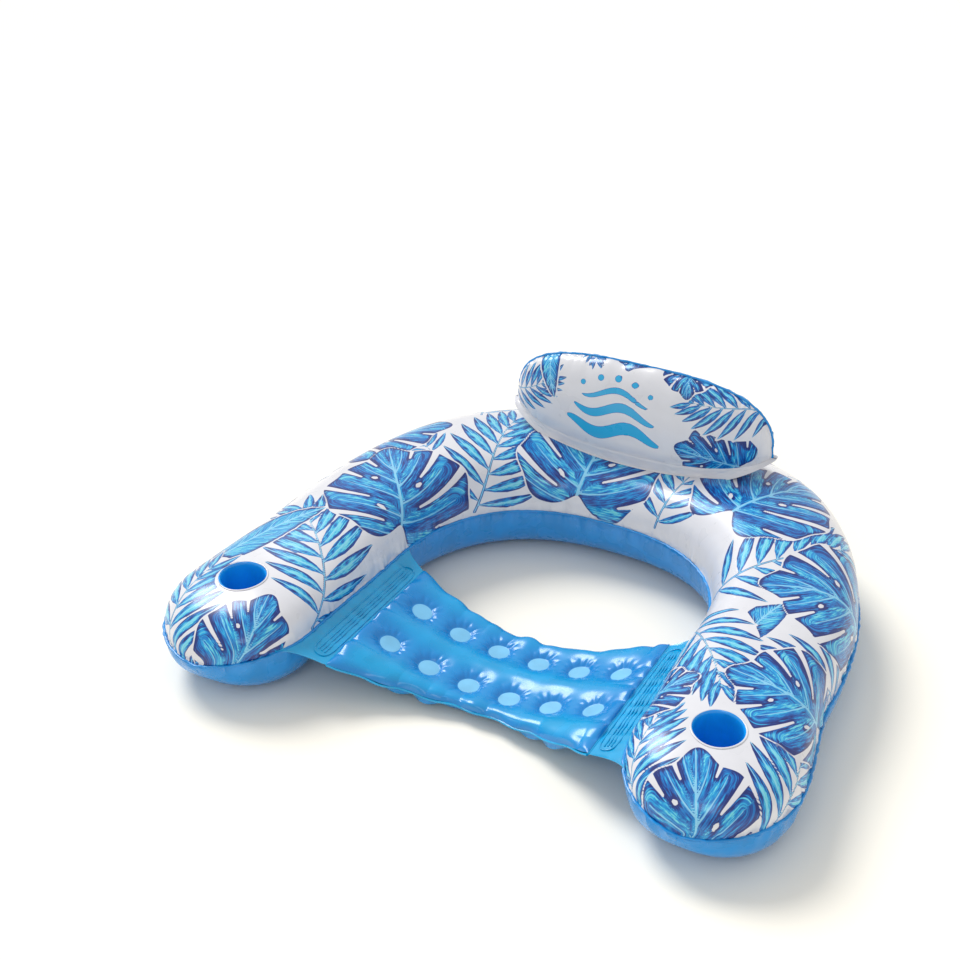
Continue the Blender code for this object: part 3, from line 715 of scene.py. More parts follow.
def smooth_between(tree, value, low, high):
    """0 below low, 1 above high, smooth between."""
    return add_node(tree, "ShaderNodeMapRange", {"Value": value, "From Min": low, "From Max": high},
                    interpolation_type="SMOOTHSTEP").outputs["Result"]


def reckoned(tree, operation, *values):
    """What a math node makes of some values or other nodes' outputs."""
    return add_node(tree, "ShaderNodeMath", dict(enumerate(values)), operation=operation).outputs[0]


def noise(tree, place, pitch, detail, roughness=0.5):
    """Soft noise from 0 to 1 whose lumps are a pitch apart."""
    links = {"Vector": place, "Scale": 1 / pitch, "Detail": detail, "Roughness": roughness}
    return add_node(tree, "ShaderNodeTexNoise", links).outputs["Fac"]


def bumped(tree, height, strength, distance):
    """A surface's normal, bent by a height that is drawn on it."""
    links = {"Height": height, "Strength": strength, "Distance": distance}
    return add_node(tree, "ShaderNodeBump", links).outputs["Normal"]


def bare_tree(owner):
    """A material's or a world's own node tree, emptied."""
    owner.use_nodes = True
    owner.node_tree.nodes.clear()
    return owner.node_tree


def mixed(tree, share, first, second):
    # A mix node's colours are its inputs 6 and 7 and its output 2; the others are of other kinds.
    links = {0: share, 6: first, 7: second}
    return add_node(tree, "ShaderNodeMix", links, data_type="RGBA").outputs[2]


CLOUD_PITCH = 0.040      # distance over which a film's thickness wanders
GRAIN_PITCH = 0.0025     # roller grain is far under 1 mm; this is the finest that the render shows


def film_parts(name, colour, roughness=0.27, gloss=0.25, depth=0.86):
    """Calendered vinyl film: an even colour that the rollers left slightly uneven, and a wet gloss.

    Gives the material, its tree, its surface node and its colour, for more to be drawn on it."""
    made = bpy.data.materials.new(name)
    tree = bare_tree(made)
    place = add_node(tree, "ShaderNodeTexCoord").outputs["Object"]
    cloud = noise(tree, place, CLOUD_PITCH, 2.0)
    deep = (*(c * depth for c in colour), 1.0)
    shade = mixed(tree, smooth_between(tree, cloud, 0.3, 0.7), deep, (*colour, 1.0))
    bump = bumped(tree, noise(tree, place, GRAIN_PITCH, 1.0), 0.05, 0.0004)
    rough = add_node(tree, "ShaderNodeMapRange",
                     {"Value": cloud, "To Min": roughness - 0.04, "To Max": roughness + 0.05})
    body = add_node(tree, "ShaderNodeBsdfPrincipled",
                    {"Base Color": shade, "Roughness": rough.outputs["Result"], "IOR": 1.53,
                     "Normal": bump, "Coat Weight": gloss, "Coat Roughness": 0.12})
    add_node(tree, "ShaderNodeOutputMaterial", {"Surface": body.outputs["BSDF"]})
    return made, tree, body, shade


def film_material(*look, **more):
    """Plain vinyl film."""
    return film_parts(*look, **more)[0]


KNURL = 0.0024           # pitch of the weld bars' diamonds
WORN_PITCH = 0.030       # distance between the places where a bar was worn


def embossed_material(name, colour):
    """Vinyl pressed between knurled weld bars, whose diamonds are weaker where the bar was worn."""
    made, tree, body, _ = film_parts(name, colour, roughness=0.24, gloss=0.4)
    place = add_node(tree, "ShaderNodeTexCoord").outputs["Object"]
    turned = add_node(tree, "ShaderNodeMapping",
                      {"Vector": place, "Rotation": (0, 0, math.pi / 4), "Scale": (1 / KNURL,) * 3})
    knurl = add_node(tree, "ShaderNodeTexVoronoi",
                     {"Vector": turned.outputs[0], "Scale": 1.0, "Randomness": 0.15})
    press = smooth_between(tree, noise(tree, place, WORN_PITCH, 1.0), 0.42, 0.62)
    depth = reckoned(tree, "MULTIPLY", knurl.outputs["Distance"], press)
    tree.links.new(bumped(tree, depth, 0.5, 0.0006), body.inputs["Normal"])
    return made


BRUSH = (22, 2.6)        # length and width of a brush stroke, in millimetres


def printed_film(name, colours):
    """White vinyl film, gravure printed with brushed-looking leaves, then heat sealed."""
    made, tree, body, white = film_parts(name, colours.film_white, roughness=0.28, depth=0.96)
    leaf = add_node(tree, "ShaderNodeAttribute", attribute_name="leaf").outputs["Vector"]
    stroke = add_node(tree, "ShaderNodeAttribute", attribute_name="stroke").outputs["Vector"]
    inside, vein, vein_width = add_node(tree, "ShaderNodeSeparateXYZ", {"Vector": leaf}).outputs
    tone = add_node(tree, "ShaderNodeSeparateXYZ", {"Vector": stroke}).outputs["Z"]
    # Strokes run along the veins, and each leaf's tone gives it strokes of its own.
    stretched = add_node(tree, "ShaderNodeMapping",
                         {"Vector": stroke, "Scale": (1 / BRUSH[0], 1 / BRUSH[1], 3.0)})
    strokes = noise(tree, stretched.outputs["Vector"], 1.0, 3.0, 0.6)
    centred = reckoned(tree, "SUBTRACT", strokes, 0.5)
    # A leaf is darkest along its margin, where the strokes make the dark run in unevenly.
    rim = smooth_between(tree, reckoned(tree, "MULTIPLY_ADD", centred, 16.0, inside), 0.5, 9.0)
    tint = reckoned(tree, "MULTIPLY_ADD", centred, 2.3, tone)
    shade = reckoned(tree, "MULTIPLY_ADD", rim, 0.66, tint)
    ramp = add_node(tree, "ShaderNodeValToRGB", {"Fac": shade})
    stops = ((0.02, colours.leaf_navy), (0.28, colours.leaf_deep), (0.55, colours.leaf_mid),
             (0.80, colours.leaf_bright), (1.0, colours.leaf_pale))
    band = ramp.color_ramp.elements
    while len(band) < len(stops):
        band.new(0.5)
    for element, (at, colour) in zip(band, stops):
        element.position = at
        element.color = (*colour, 1.0)
    past = reckoned(tree, "SUBTRACT", reckoned(tree, "ABSOLUTE", vein), vein_width)
    on_vein = reckoned(tree, "SUBTRACT", 1.0, smooth_between(tree, past, -0.5, 0.4))
    on_vein = reckoned(tree, "MULTIPLY", on_vein, reckoned(tree, "GREATER_THAN", vein_width, 0.15))
    faded = reckoned(tree, "MULTIPLY", on_vein, 0.85)
    leaf_colour = mixed(tree, faded, ramp.outputs["Color"], (*colours.leaf_vein, 1.0))
    printed = smooth_between(tree, inside, -0.35, 0.35)
    tree.links.new(mixed(tree, printed, white, leaf_colour), body.inputs["Base Color"])
    return made


# Settings that a user would change

def colour_property(name, code, description):
    return bpy.props.FloatVectorProperty(name=name, description=description, subtype="COLOR",
                                         min=0.0, max=1.0, default=hex_linear(code))


def length_property(name, default, description):
    return bpy.props.FloatProperty(name=name, description=description, default=default, min=0.0,
                                   precision=5, unit="LENGTH")


class PoolFloatColours(bpy.types.PropertyGroup):
    film_white: colour_property("White Film", "#DFDFE4", "Unprinted film, top panel and pillow")
    film_blue: colour_property("Blue Film", "#0090DE", "Bottom panel, pillow back and weld beads")
    film_bright: colour_property("Bright Film", "#00A9E2", "Seat and its ribbed strips")
    # Painted shade: the seat film is darkened towards this colour in its hollows
    film_hollow_shade: colour_property("Bright Film Hollow Shade", "#0A86D0", "Seat film in the hollows")
    # Pale partly from the pressed film and partly as a painted highlight on the discs' up-facing tops
    spot_weld: colour_property("Spot Weld", "#7CC8F0", "Flat spot welds of the seat, pressed pale and given a painted highlight")
    well_blue: colour_property("Well Film", "#12A2F6", "Cup wells")
    valve_clear: colour_property("Valve Vinyl", "#BFD6EA", "Moulded valves")
    leaf_navy: colour_property("Leaf Navy", "#0C2470", "Darkest ink, along the leaves' margins")
    leaf_deep: colour_property("Leaf Deep", "#06489C", "Second ink")
    leaf_mid: colour_property("Leaf Mid", "#0279C6", "Middle ink")
    leaf_bright: colour_property("Leaf Bright", "#14A6DC", "Bright strokes")
    leaf_pale: colour_property("Leaf Pale", "#74D4E0", "Palest strokes")
    leaf_vein: colour_property("Leaf Vein", "#8FD2EE", "Ribs and veins")
    floor: colour_property("Floor", "#FFFAEE", "Studio floor")


class PoolFloatSizes(bpy.types.PropertyGroup):
    film: length_property("Film", 0.0010, "Drawn thickness, more than the real 0.3 mm")
    top_cell: length_property("Top Cell", 0.0031, "Mesh size of the printed panels")
    bottom_cell: length_property("Bottom Cell", 0.0042, "Mesh size of the bottom panel")
    seat_cell: length_property("Seat Cell", 0.0020, "Mesh size of the seat's top")
    pillow_cell: length_property("Pillow Cell", 0.0028, "Mesh size of the pillow")
    pucker: length_property("Pucker", 0.0019, "Height of the small puckers at the welds")
    pucker_pitch: length_property("Pucker Pitch", 0.017, "Usual distance between the small puckers")
    crease: length_property("Crease", 0.0020, "Height of the long creases that start at the welds")
    crease_pitch: length_property("Crease Pitch", 0.046, "Usual distance between the long creases")
    bead_width: length_property("Bead Width", 0.0062, "Width of the edge that stands out of a weld")
    bead_thick: length_property("Bead Thickness", 0.0030, "Thickness of that edge")


def settings(context):
    """The scene's colours and sizes for the float."""
    return context.scene.pool_float_colours, context.scene.pool_float_sizes


# The ring

# Leaves on the ring: kind, x and y in the flat film, heading in degrees, length, bend and tone
RING_LEAVES = (
    (split_leaf, -0.34, -0.6, 98, 0.21, 0.2, 0.02), (frond, -0.505, -0.615, 92, 0.25, -0.3, 0.2),
    (blade, -0.548, -0.385, 62, 0.275, -0.3, 0.08), (frond, -0.262, -0.372, 133, 0.29, 0.3, 0.22),
    (split_leaf, -0.245, -0.11, 132, 0.285, -0.2, 0.0), (frond, -0.195, 0.045, 104, 0.265, -0.3, 0.22),
    (split_leaf, -0.07, 0.125, 92, 0.28, 0.15, 0.04), (frond, 0.09, 0.15, 78, 0.235, 0.3, 0.22),
    (split_leaf, 0.225, 0.13, 60, 0.28, -0.15, 0.0), (frond, 0.275, -0.03, 50, 0.29, 0.35, 0.2),
    (split_leaf, 0.625, 0.08, 200, 0.28, 0.2, 0.02), (frond, 0.255, -0.105, -50, 0.24, -0.35, 0.22),
    (split_leaf, 0.62, -0.235, 182, 0.225, -0.2, 0.06), (frond, 0.61, -0.53, 104, 0.26, 0.3, 0.2),
    (split_leaf, 0.5, -0.64, 110, 0.23, 0.15, 0.0), (frond, 0.335, -0.59, 88, 0.215, -0.25, 0.22),
    (split_leaf, 0.255, -0.345, 34, 0.135, 0.2, 0.05), (frond, 0.625, -0.11, 215, 0.23, 0.25, 0.2),
    (split_leaf, -0.59, 0.12, 24, 0.26, 0.15, 0.02), (frond, -0.33, 0.29, 122, 0.24, 0.3, 0.2),
    (split_leaf, -0.175, 0.4, 104, 0.25, -0.15, 0.0), (frond, 0.0, 0.42, 82, 0.23, 0.3, 0.22),
    (split_leaf, 0.15, 0.44, 58, 0.24, 0.2, 0.02), (frond, 0.29, 0.37, 24, 0.25, -0.3, 0.22),
    (split_leaf, 0.585, 0.23, 118, 0.22, 0.3, 0.06), (blade, 0.345, 0.56, -12, 0.22, -0.2, 0.06),
    (blade, -0.48, 0.4, 38, 0.23, 0.3, 0.06), (frond, -0.6, -0.11, 84, 0.24, 0.3, 0.22),
    (blade, -0.57, -0.23, 78, 0.2, 0.3, 0.1), (frond, -0.3, 0.08, 150, 0.16, 0.25, 0.18),
    (blade, 0.395, -0.19, 78, 0.19, -0.35, 0.08), (blade, 0.03, 0.395, 12, 0.15, 0.3, 0.06),
    (frond, -0.4, 0.3, 190, 0.19, 0.3, 0.2), (split_leaf, 0.42, 0.48, 40, 0.16, 0.2, 0.02),
)
CUP_RING = 0.0075        # unprinted ring round a cup's mouth
TOP_WIDTH, BOTTOM_WIDTH = 0.40, 0.44     # usual widths of the two panels across, for their mesh
PUCKER_REACH, CREASE_REACH = 0.010, 0.030
MIRROR_ROWS = 14         # rows beside the back's middle where the puckers fade, so the halves meet


def ring_print(film, points):
    """The leaf print of one half of the ring, with a bare ring round each cup's mouth."""
    pattern = Print(film)
    for hand in (-1, 1):
        away = np.hypot(points[:, 0] - hand * TIP_CENTRE_X, points[:, 1] - CUP_Y)
        pattern.covered = np.maximum(pattern.covered, CUP_HOLE + CUP_RING - LEAF_GAP - away)
    # The broad leaves are drawn first and stay whole. The others end at a gap beside them.
    pattern.draw(sorted(RING_LEAVES, key=lambda leaf: leaf[0] is not split_leaf))
    return pattern


def seam_runs(points):
    """For each grid point: distance along its nearer seam, and how far it lies from that seam."""
    inner, outer = (runs_along(points[:, side])[:, None] for side in (0, -1))
    across = runs_along(points, 1)
    back = across[:, -1:] - across
    # The outer weld's run starts past the inner one's, so the two pucker unlike each other.
    return np.where(across < back, inner, outer + 3.0), np.minimum(across, back)


def ring_panel(name, upper, hand, material, slot, node, sizes, seed):
    """One half of the ring's top or bottom panel, puckered at its welds."""
    cell, width = (sizes.top_cell, TOP_WIDTH) if upper else (sizes.bottom_cell, BOTTOM_WIDTH)
    fine = ring_stations()
    length = runs_along((fine[:2] + fine[2:4]).T / 2)[-1]
    rows, columns = int(length * 1.04 / cell), int(width / cell)
    points, film = ring_surface(upper, rows, columns)
    normals = grid_normals(points)
    outward = 1.0 if upper else -1.0
    if (normals[rows // 2, columns // 2, 2] < 0) == upper:
        outward = -outward
    run, edge = seam_runs(points)
    strength = outward * (1.0 if upper else 1.6)
    height = pucker(run, edge, seed, sizes.pucker, sizes.pucker_pitch, PUCKER_REACH)
    height += pucker(run, edge, seed + 1, sizes.crease, sizes.crease_pitch, CREASE_REACH)
    height[points[:, :, 2] < 0.0005] = 0.0
    height *= valve_calm(points)
    height *= ease(np.linspace(0, 1, rows) * rows / MIRROR_ROWS)[:, None]
    points = points + normals * (strength * height)[:, :, None]
    points[:, :, 2] = np.maximum(points[:, :, 2], 0.0)
    points[0, :, 0] = 0.0
    if upper:
        points, keep = round_hole(points, (TIP_CENTRE_X, CUP_Y, 0), (0, 0, 1), CUP_HOLE, cell, 1.0)
    else:
        points, keep = valve_hole(points, "body_valve", cell)
    points[:, :, 0] *= hand
    film[:, :, 0] *= hand
    mesh = grid_mesh(name, points, keep, flip=(hand > 0) == upper)
    if upper:
        ring_print(film.reshape(-1, 2), points.reshape(-1, 3)).store(mesh)
    return add_piece(mesh, material, slot, (node,), thick=sizes.film)


class POOLFLOAT_OT_top_panels(bpy.types.Operator):
    """Make the printed top panel of the ring, in two halves"""
    bl_idname = "pool_float.top_panels"
    bl_label = "Top Panels"

    def execute(self, context):
        colours, sizes = settings(context)
        printed = printed_film("gravure_printed_vinyl_film", colours)
        for name, hand in (("left_top_panel", 1), ("right_top_panel", -1)):
            ring_panel(name, True, hand, printed, "white_vinyl", "top_skin", sizes, 11)
        return {"FINISHED"}


class POOLFLOAT_OT_bottom_panels(bpy.types.Operator):
    """Make the blue bottom panel of the ring, in two halves"""
    bl_idname = "pool_float.bottom_panels"
    bl_label = "Bottom Panels"

    def execute(self, context):
        colours, sizes = settings(context)
        blue = film_material("calendered_blue_vinyl_film", colours.film_blue)
        for name, hand in (("left_bottom_panel", 1), ("right_bottom_panel", -1)):
            ring_panel(name, False, hand, blue, "blue_vinyl", "bottom_skin", sizes, 23)
        return {"FINISHED"}


EDGE_STEP = 0.004        # distance between the points of a weld's path


def ring_edge(inner):
    """Points along the +X half's inner or outer weld, from the middle of the back to the tip."""
    fine = ring_stations()
    x, y = (fine[0], fine[1]) if inner else (fine[2], fine[3])
    height = seam_heights(np.full_like(x, -1.0 if inner else 1.0), fine[4])
    return evenly(np.stack([x, y, height], 1), EDGE_STEP)[0]


def ring_top_finder():
    """Function that gives the ring's top height at x, y."""
    rows, columns = 260, 60
    points = ring_surface(True, rows, columns)[0].reshape(-1, 3)
    tree = BVHTree.FromPolygons(points.tolist(), grid_quads(rows, columns).tolist())

    def height(x, y):
        hit = tree.ray_cast(Vector((abs(x), y, 1.0)), Vector((0, 0, -1)))[0]
        return hit.z if hit else 0.0
    return height


class POOLFLOAT_OT_ring_welds(bpy.types.Operator):
    """Make the welded edge that runs all round the ring between its two panels"""
    bl_idname = "pool_float.ring_welds"
    bl_label = "Ring Welds"

    def execute(self, context):
        colours, sizes = settings(context)
        blue = film_material("heat_sealed_blue_vinyl_edge", colours.film_blue, roughness=0.3)
        outer, inner = ring_edge(False), ring_edge(True)
        half = np.concatenate([outer, inner[::-1][1:]])
        loop = np.concatenate([half[:-1], (half * (-1, 1, 1))[::-1][:-1]])
        # The back's middle is reached once on the outer and once on the inner weld.
        loop, run = evenly(np.concatenate([loop, loop[:1]]), EDGE_STEP)
        loop, run = loop[:-1], run[:-1]
        away = np.roll(loop, -1, 0) - np.roll(loop, 1, 0)
        out = unit(np.stack([away[:, 1], -away[:, 0], np.zeros(len(away))], 1))
        eighth = len(loop) // 8
        if np.dot(out[eighth], loop[eighth] - (0, ROUND_Y, 0)) < 0:
            out = -out
        loop = loop + out * (0.0016 + 0.0009 * waves(run, 0.026, seed=5))[:, None]
        loop[:, 2] += 0.0004 * waves(run, 0.019, seed=6)
        beads("ring_weld_edge", [loop], sizes.bead_width, sizes.bead_thick, blue, "blue_vinyl",
              ("top_skin", "bottom_skin"), closed=True)
        return {"FINISHED"}


WELL_RADIUS = CUP_RADIUS - 0.0006
WELL_SINK = 0.0045       # how far below the mouth the well's straight wall starts
WELL_TAPER = 0.0020      # how much narrower the well is at its floor
CUP_LIP = CUP_HOLE + 0.0010      # radius of the rolled lip's middle line


class POOLFLOAT_OT_cups(bpy.types.Operator):
    """Make the two cup wells with their rolled lips and floors"""
    bl_idname = "pool_float.cups"
    bl_label = "Cups"

    def execute(self, context):
        colours, sizes = settings(context)
        deep = film_material("drawn_blue_vinyl_well", colours.well_blue, roughness=0.24)
        white = film_material("rolled_white_vinyl_lip", colours.film_white, roughness=0.28,
                              depth=0.96)
        height = ring_top_finder()
        turns = np.linspace(0, 2 * np.pi, 121)
        mouth = np.array([height(x, y) for x, y, _ in circle(CUP_LIP, turns, 0 * turns)
                          + (TIP_CENTRE_X, CUP_Y, 0)])
        low = CUP_TOP - CUP_DEPTH
        profile = [(CUP_HOLE + 0.0006, -0.0008), (CUP_HOLE - 0.0004, 0.0002),
                   (CUP_RADIUS + 0.0003, -0.0012), (WELL_RADIUS, -WELL_SINK)]
        for name, hand in (("left", 1), ("right", -1)):
            centre = np.array([hand * TIP_CENTRE_X, CUP_Y, 0])
            rows = [circle(radius, turns, mouth + up) for radius, up in profile]
            for step in np.linspace(0.08, 1, 24):
                ripple = 0.0007 * math.sin(math.pi * step) * np.sin(7 * turns + 1.5 + 1.3 * hand)
                drop = mouth - WELL_SINK + (low - mouth + WELL_SINK) * step
                rows.append(circle(WELL_RADIUS - WELL_TAPER * step + ripple, turns, drop))
            rings = []
            for share in np.linspace(1, 0, 16):
                bulge = 0.0015 * (1 - share ** 4)
                ripple = 0.0024 * share ** 2 * (1 - share) * np.sin(9 * turns)
                radius = (WELL_RADIUS - WELL_TAPER) * share
                rings.append(circle(radius, turns, low + bulge + ripple))
            for part, points, node in (("_cup_well", rows, "_cup_wall"),
                                       ("_cup_base", rings, "_cup_floor")):
                mesh = grid_mesh(name + part, np.array(points) + centre, flip=True)
                add_piece(mesh, deep, "blue_vinyl", (name + node,), thick=sizes.film)
            path = circle(CUP_LIP, turns, mouth + 0.0007)[:-1] * (hand, 1, 1) + centre
            beads(name + "_cup_lip", [path], *LIP_BEAD, white, "white_vinyl", ("top_skin",),
                  closed=True)
        return {"FINISHED"}


# The seat

def seat_plane(x):
    """Height of the sling's middle, where the seat's two skins are welded together."""
    return SEAT_LOW + (SEAT_HIGH - SEAT_LOW) * (np.abs(x) / SEAT_HALF_WIDTH) ** SEAT_SAG_POWER


def seat_edges(x):
    """Y of the seat's front and back welds, drawn in beside each pair of spot welds."""
    share = np.clip(np.abs(x) / SEAT_HALF_WIDTH, 0, 1)
    middle = SEAT_Y - SEAT_END_FORWARD * share ** 2
    grow = SEAT_END_LENGTH - SEAT_MIDDLE_LENGTH
    half = (SEAT_MIDDLE_LENGTH + grow * share ** SEAT_EDGE_POWER) / 2
    scallop = 0.0022 * np.cos(2 * np.pi * x / SPOT_PITCH) * (1 - share ** 8)
    return middle - half - scallop, middle + half + scallop


def seat_spots():
    """The seat's spot welds, x and y of each."""
    return [((column - (SPOT_COLUMNS - 1) / 2) * SPOT_PITCH, SEAT_Y + row * SPOT_ROW_PITCH / 2)
            for column in range(SPOT_COLUMNS) for row in (-1, 1)]


HOLLOW_SLOPE = 0.026     # how far from a spot weld's rim the film has risen by two thirds
HOLLOW_SWELL = 1.45      # makes up for the height that neighbouring hollows take from each other
HOLLOW_POWER = 2.6       # 2 would make a hollow round, more makes it square
CREASES = 13             # creases that run out from a spot weld
CREASE_DEPTHS = (0.0010, 0.0026)


def seat_heights(x, y, front, back):
    """Share of the full bulge, and the height of the creases that run out from the spot welds."""
    along = (2 * y - front - back) / (back - front)
    # The film leaves the strips at a gentle slope, and the front and back welds at a steep one.
    ends = (1 - np.clip(np.abs(x) / SEAT_HALF_WIDTH, 0, 1) ** 5) ** 0.6
    edge = arch(along, 3) * ends
    fill = edge * HOLLOW_SWELL
    creases = np.zeros_like(x)
    for k, (spot_x, spot_y) in enumerate(seat_spots()):
        away_x, away_y = x - spot_x, y - spot_y
        # A hollow is nearly square, because its neighbours pull it towards them.
        away = np.abs(away_x) ** HOLLOW_POWER + np.abs(away_y) ** HOLLOW_POWER
        away = away ** (1 / HOLLOW_POWER)
        round_away = np.hypot(away_x, away_y)
        away = round_away + (away - round_away) * ease((round_away - SPOT_RADIUS) / 0.02)
        share = np.clip((away - SPOT_RADIUS) / (SPOT_REACH - SPOT_RADIUS), 0, 1)
        # Neighbouring hollows multiply, so the film sinks to a low saddle between two of them.
        fill *= 1 - np.exp(-(np.maximum(away - SPOT_RADIUS, 0) / HOLLOW_SLOPE) ** 1.1)
        turn = np.arctan2(away_y, away_x)
        draw = np.random.default_rng(60 + k)
        angles = np.arange(CREASES) * (2 * np.pi / CREASES)
        for angle in angles + draw.uniform(-0.12, 0.12, CREASES):
            off = np.angle(np.exp(1j * (turn - angle)))
            groove = np.exp(-(off / 0.11) ** 2) - 0.08
            band = np.exp(-((share - 0.14) / 0.15) ** 2) * (share > 0) * ease(share / 0.06)
            creases -= draw.uniform(*CREASE_DEPTHS) * groove * band
    return fill, creases


SPOT_RAISE = 0.0014      # how far a spot weld's disc stands past the films' middles, to be seen

# Puckers along the seat's long welds and its ends: height, pitch and reach
SEAT_LONG_PUCKER = (0.0046, 0.058, 0.026)
SEAT_END_PUCKER = (0.0042, 0.048, 0.028)
CORNER_CALM = 0.03       # they fade this near a corner,
SPOT_CALM = 0.015        # and this near a spot weld


def seat_panel(name, upper, material, node, cell, film):
    """One skin of the seat, with its hollows, creases and puckers."""
    half = SEAT_HALF_WIDTH
    columns = int(2 * half / cell)
    rows = int(SEAT_END_LENGTH / cell)
    x = np.repeat(np.linspace(-half, half, columns)[:, None], rows, 1)
    front, back = seat_edges(x)
    y = front + (back - front) * np.linspace(0, 1, rows)[None, :]
    fill, creases = seat_heights(x, y, front, back)
    bulge = SEAT_TOP_BULGE if upper else -SEAT_UNDER_BULGE
    offset = LID if upper else -LID
    z = seat_plane(x) + offset + (bulge - offset) * fill + math.copysign(1, bulge) * creases
    points = np.stack([x, y, z], 2)
    edge = np.minimum(y - front, back - y)
    ends = half - np.abs(x)
    height = pucker(x + 0.5, edge, 7 + upper, *SEAT_LONG_PUCKER) * ease(ends / CORNER_CALM)
    height += pucker(y + 0.5, ends, 9 + upper, *SEAT_END_PUCKER) * ease(edge / CORNER_CALM)
    nearest = np.min([np.hypot(x - spot_x, y - spot_y) for spot_x, spot_y in seat_spots()], axis=0)
    height *= ease((nearest - SPOT_RADIUS) / SPOT_CALM) * valve_calm(points)
    normals = grid_normals(points)
    faces_up = normals[columns // 2, rows // 2, 2] > 0
    points += normals * (height * (1 if faces_up == upper else -1))[:, :, None]
    keep = None
    if not upper:
        points, keep = valve_hole(points, "seat_valve", cell)
    mesh = grid_mesh(name, points, keep, flip=faces_up == upper)
    # How far down into a hollow each point lies: the mask of the seat film's painted shade
    store_field(mesh, "hollow", (1 - fill).ravel())
    return add_piece(mesh, material, "bright_blue_vinyl", (node,), thick=film)


def seat_film(name, colours):
    """Bright vinyl film, with painted shade that makes it a deeper blue in the hollows round the spot
    welds.
    """
    made, tree, body, plain = film_parts(name, colours.film_bright, gloss=0.22)
    hollow = add_node(tree, "ShaderNodeAttribute", attribute_name="hollow").outputs["Fac"]
    # The deeper a point lies in a hollow, the more painted shade darkens it
    share = smooth_between(tree, hollow, 0.08, 0.85)
    deep = mixed(tree, share, plain, (*colours.film_hollow_shade, 1.0))
    tree.links.new(deep, body.inputs["Base Color"])
    return made


class POOLFLOAT_OT_seat(bpy.types.Operator):
    """Make the dimpled seat: its two skins, welded edges and spot welds"""
    bl_idname = "pool_float.seat"
    bl_label = "Seat"

    def execute(self, context):
        colours, sizes = settings(context)
        bright = film_material("heat_sealed_bright_vinyl_edge", colours.film_bright, roughness=0.2)
        # The seat's film, with painted shade in its hollows
        film = seat_film("calendered_bright_vinyl_film_hollow_shade", colours)
        # The spot weld discs: pale from the pressing, and paler still as a painted highlight on their
        # tops
        welded = film_material("spot_welded_vinyl", colours.spot_weld, roughness=0.34)
        for name, upper, node, cell in (("seat_top_panel", True, "seat_top_skin", sizes.seat_cell),
                                        ("seat_under_panel", False, "seat_bottom_skin",
                                         sizes.seat_cell * 2)):
            panel = seat_panel(name, upper, film, node, cell, sizes.film)
        x = np.linspace(-SEAT_HALF_WIDTH, SEAT_HALF_WIDTH, 160)
        front, back = seat_edges(x)
        level = seat_plane(x)
        paths = []
        for line, out, seed in ((front, -1, 3), (back, 1, 4)):
            shift = out * (0.0012 + 0.0006 * waves(x + 0.5, 0.060, seed=seed))
            lift = 0.0010 * waves(x, 0.080, seed=seed)
            paths.append(np.stack([x, line + shift, level + lift], 1))
        for side in (-1, 1):
            y = np.linspace(front[0], back[0], 90)
            paths.append(np.stack([np.full_like(y, side * (SEAT_HALF_WIDTH + 0.001)), y,
                                   np.full_like(y, SEAT_HIGH)], 1))
        skins = ("seat_top_skin", "seat_bottom_skin")
        beads("seat_weld_edges", paths, *SEAT_BEAD, bright, "bright_blue_vinyl", skins)
        x, y = np.array(seat_spots()).T
        slope = (seat_plane(x + 0.001) - seat_plane(x - 0.001)) / 0.002
        discs = bpy.data.meshes.new("seat_spot_welds")
        discs.from_pydata(np.stack([x, y, seat_plane(x)], 1).tolist(), [], [])
        store_field(discs, "tilt", np.stack([0 * slope, -np.arctan(slope), 0 * slope], 1))
        disc = {"Radius": SPOT_RADIUS - 0.0006, "Thickness": 2 * (LID + SPOT_RAISE),
                "Material": welded}
        grown_piece(discs, disc_tree(), disc, "bright_blue_vinyl", skins)
        return {"FINISHED"}


STRIP_TAIL = 0.030       # how far the strip's film runs on towards the tip along the arm
STRIP_FILM = 0.0012      # thickness of the doubled film
STRIP_SAG = 0.0024       # how far a strip hangs below a straight line from the seat to the arm
RIB_LIFT = 0.0006
RIB_SHARES = (0.30, 0.40, 0.50)      # the ribs' places across a strip, from the seat to the arm
RIB_SPAN = SEAT_END_LENGTH / 2 - 0.012


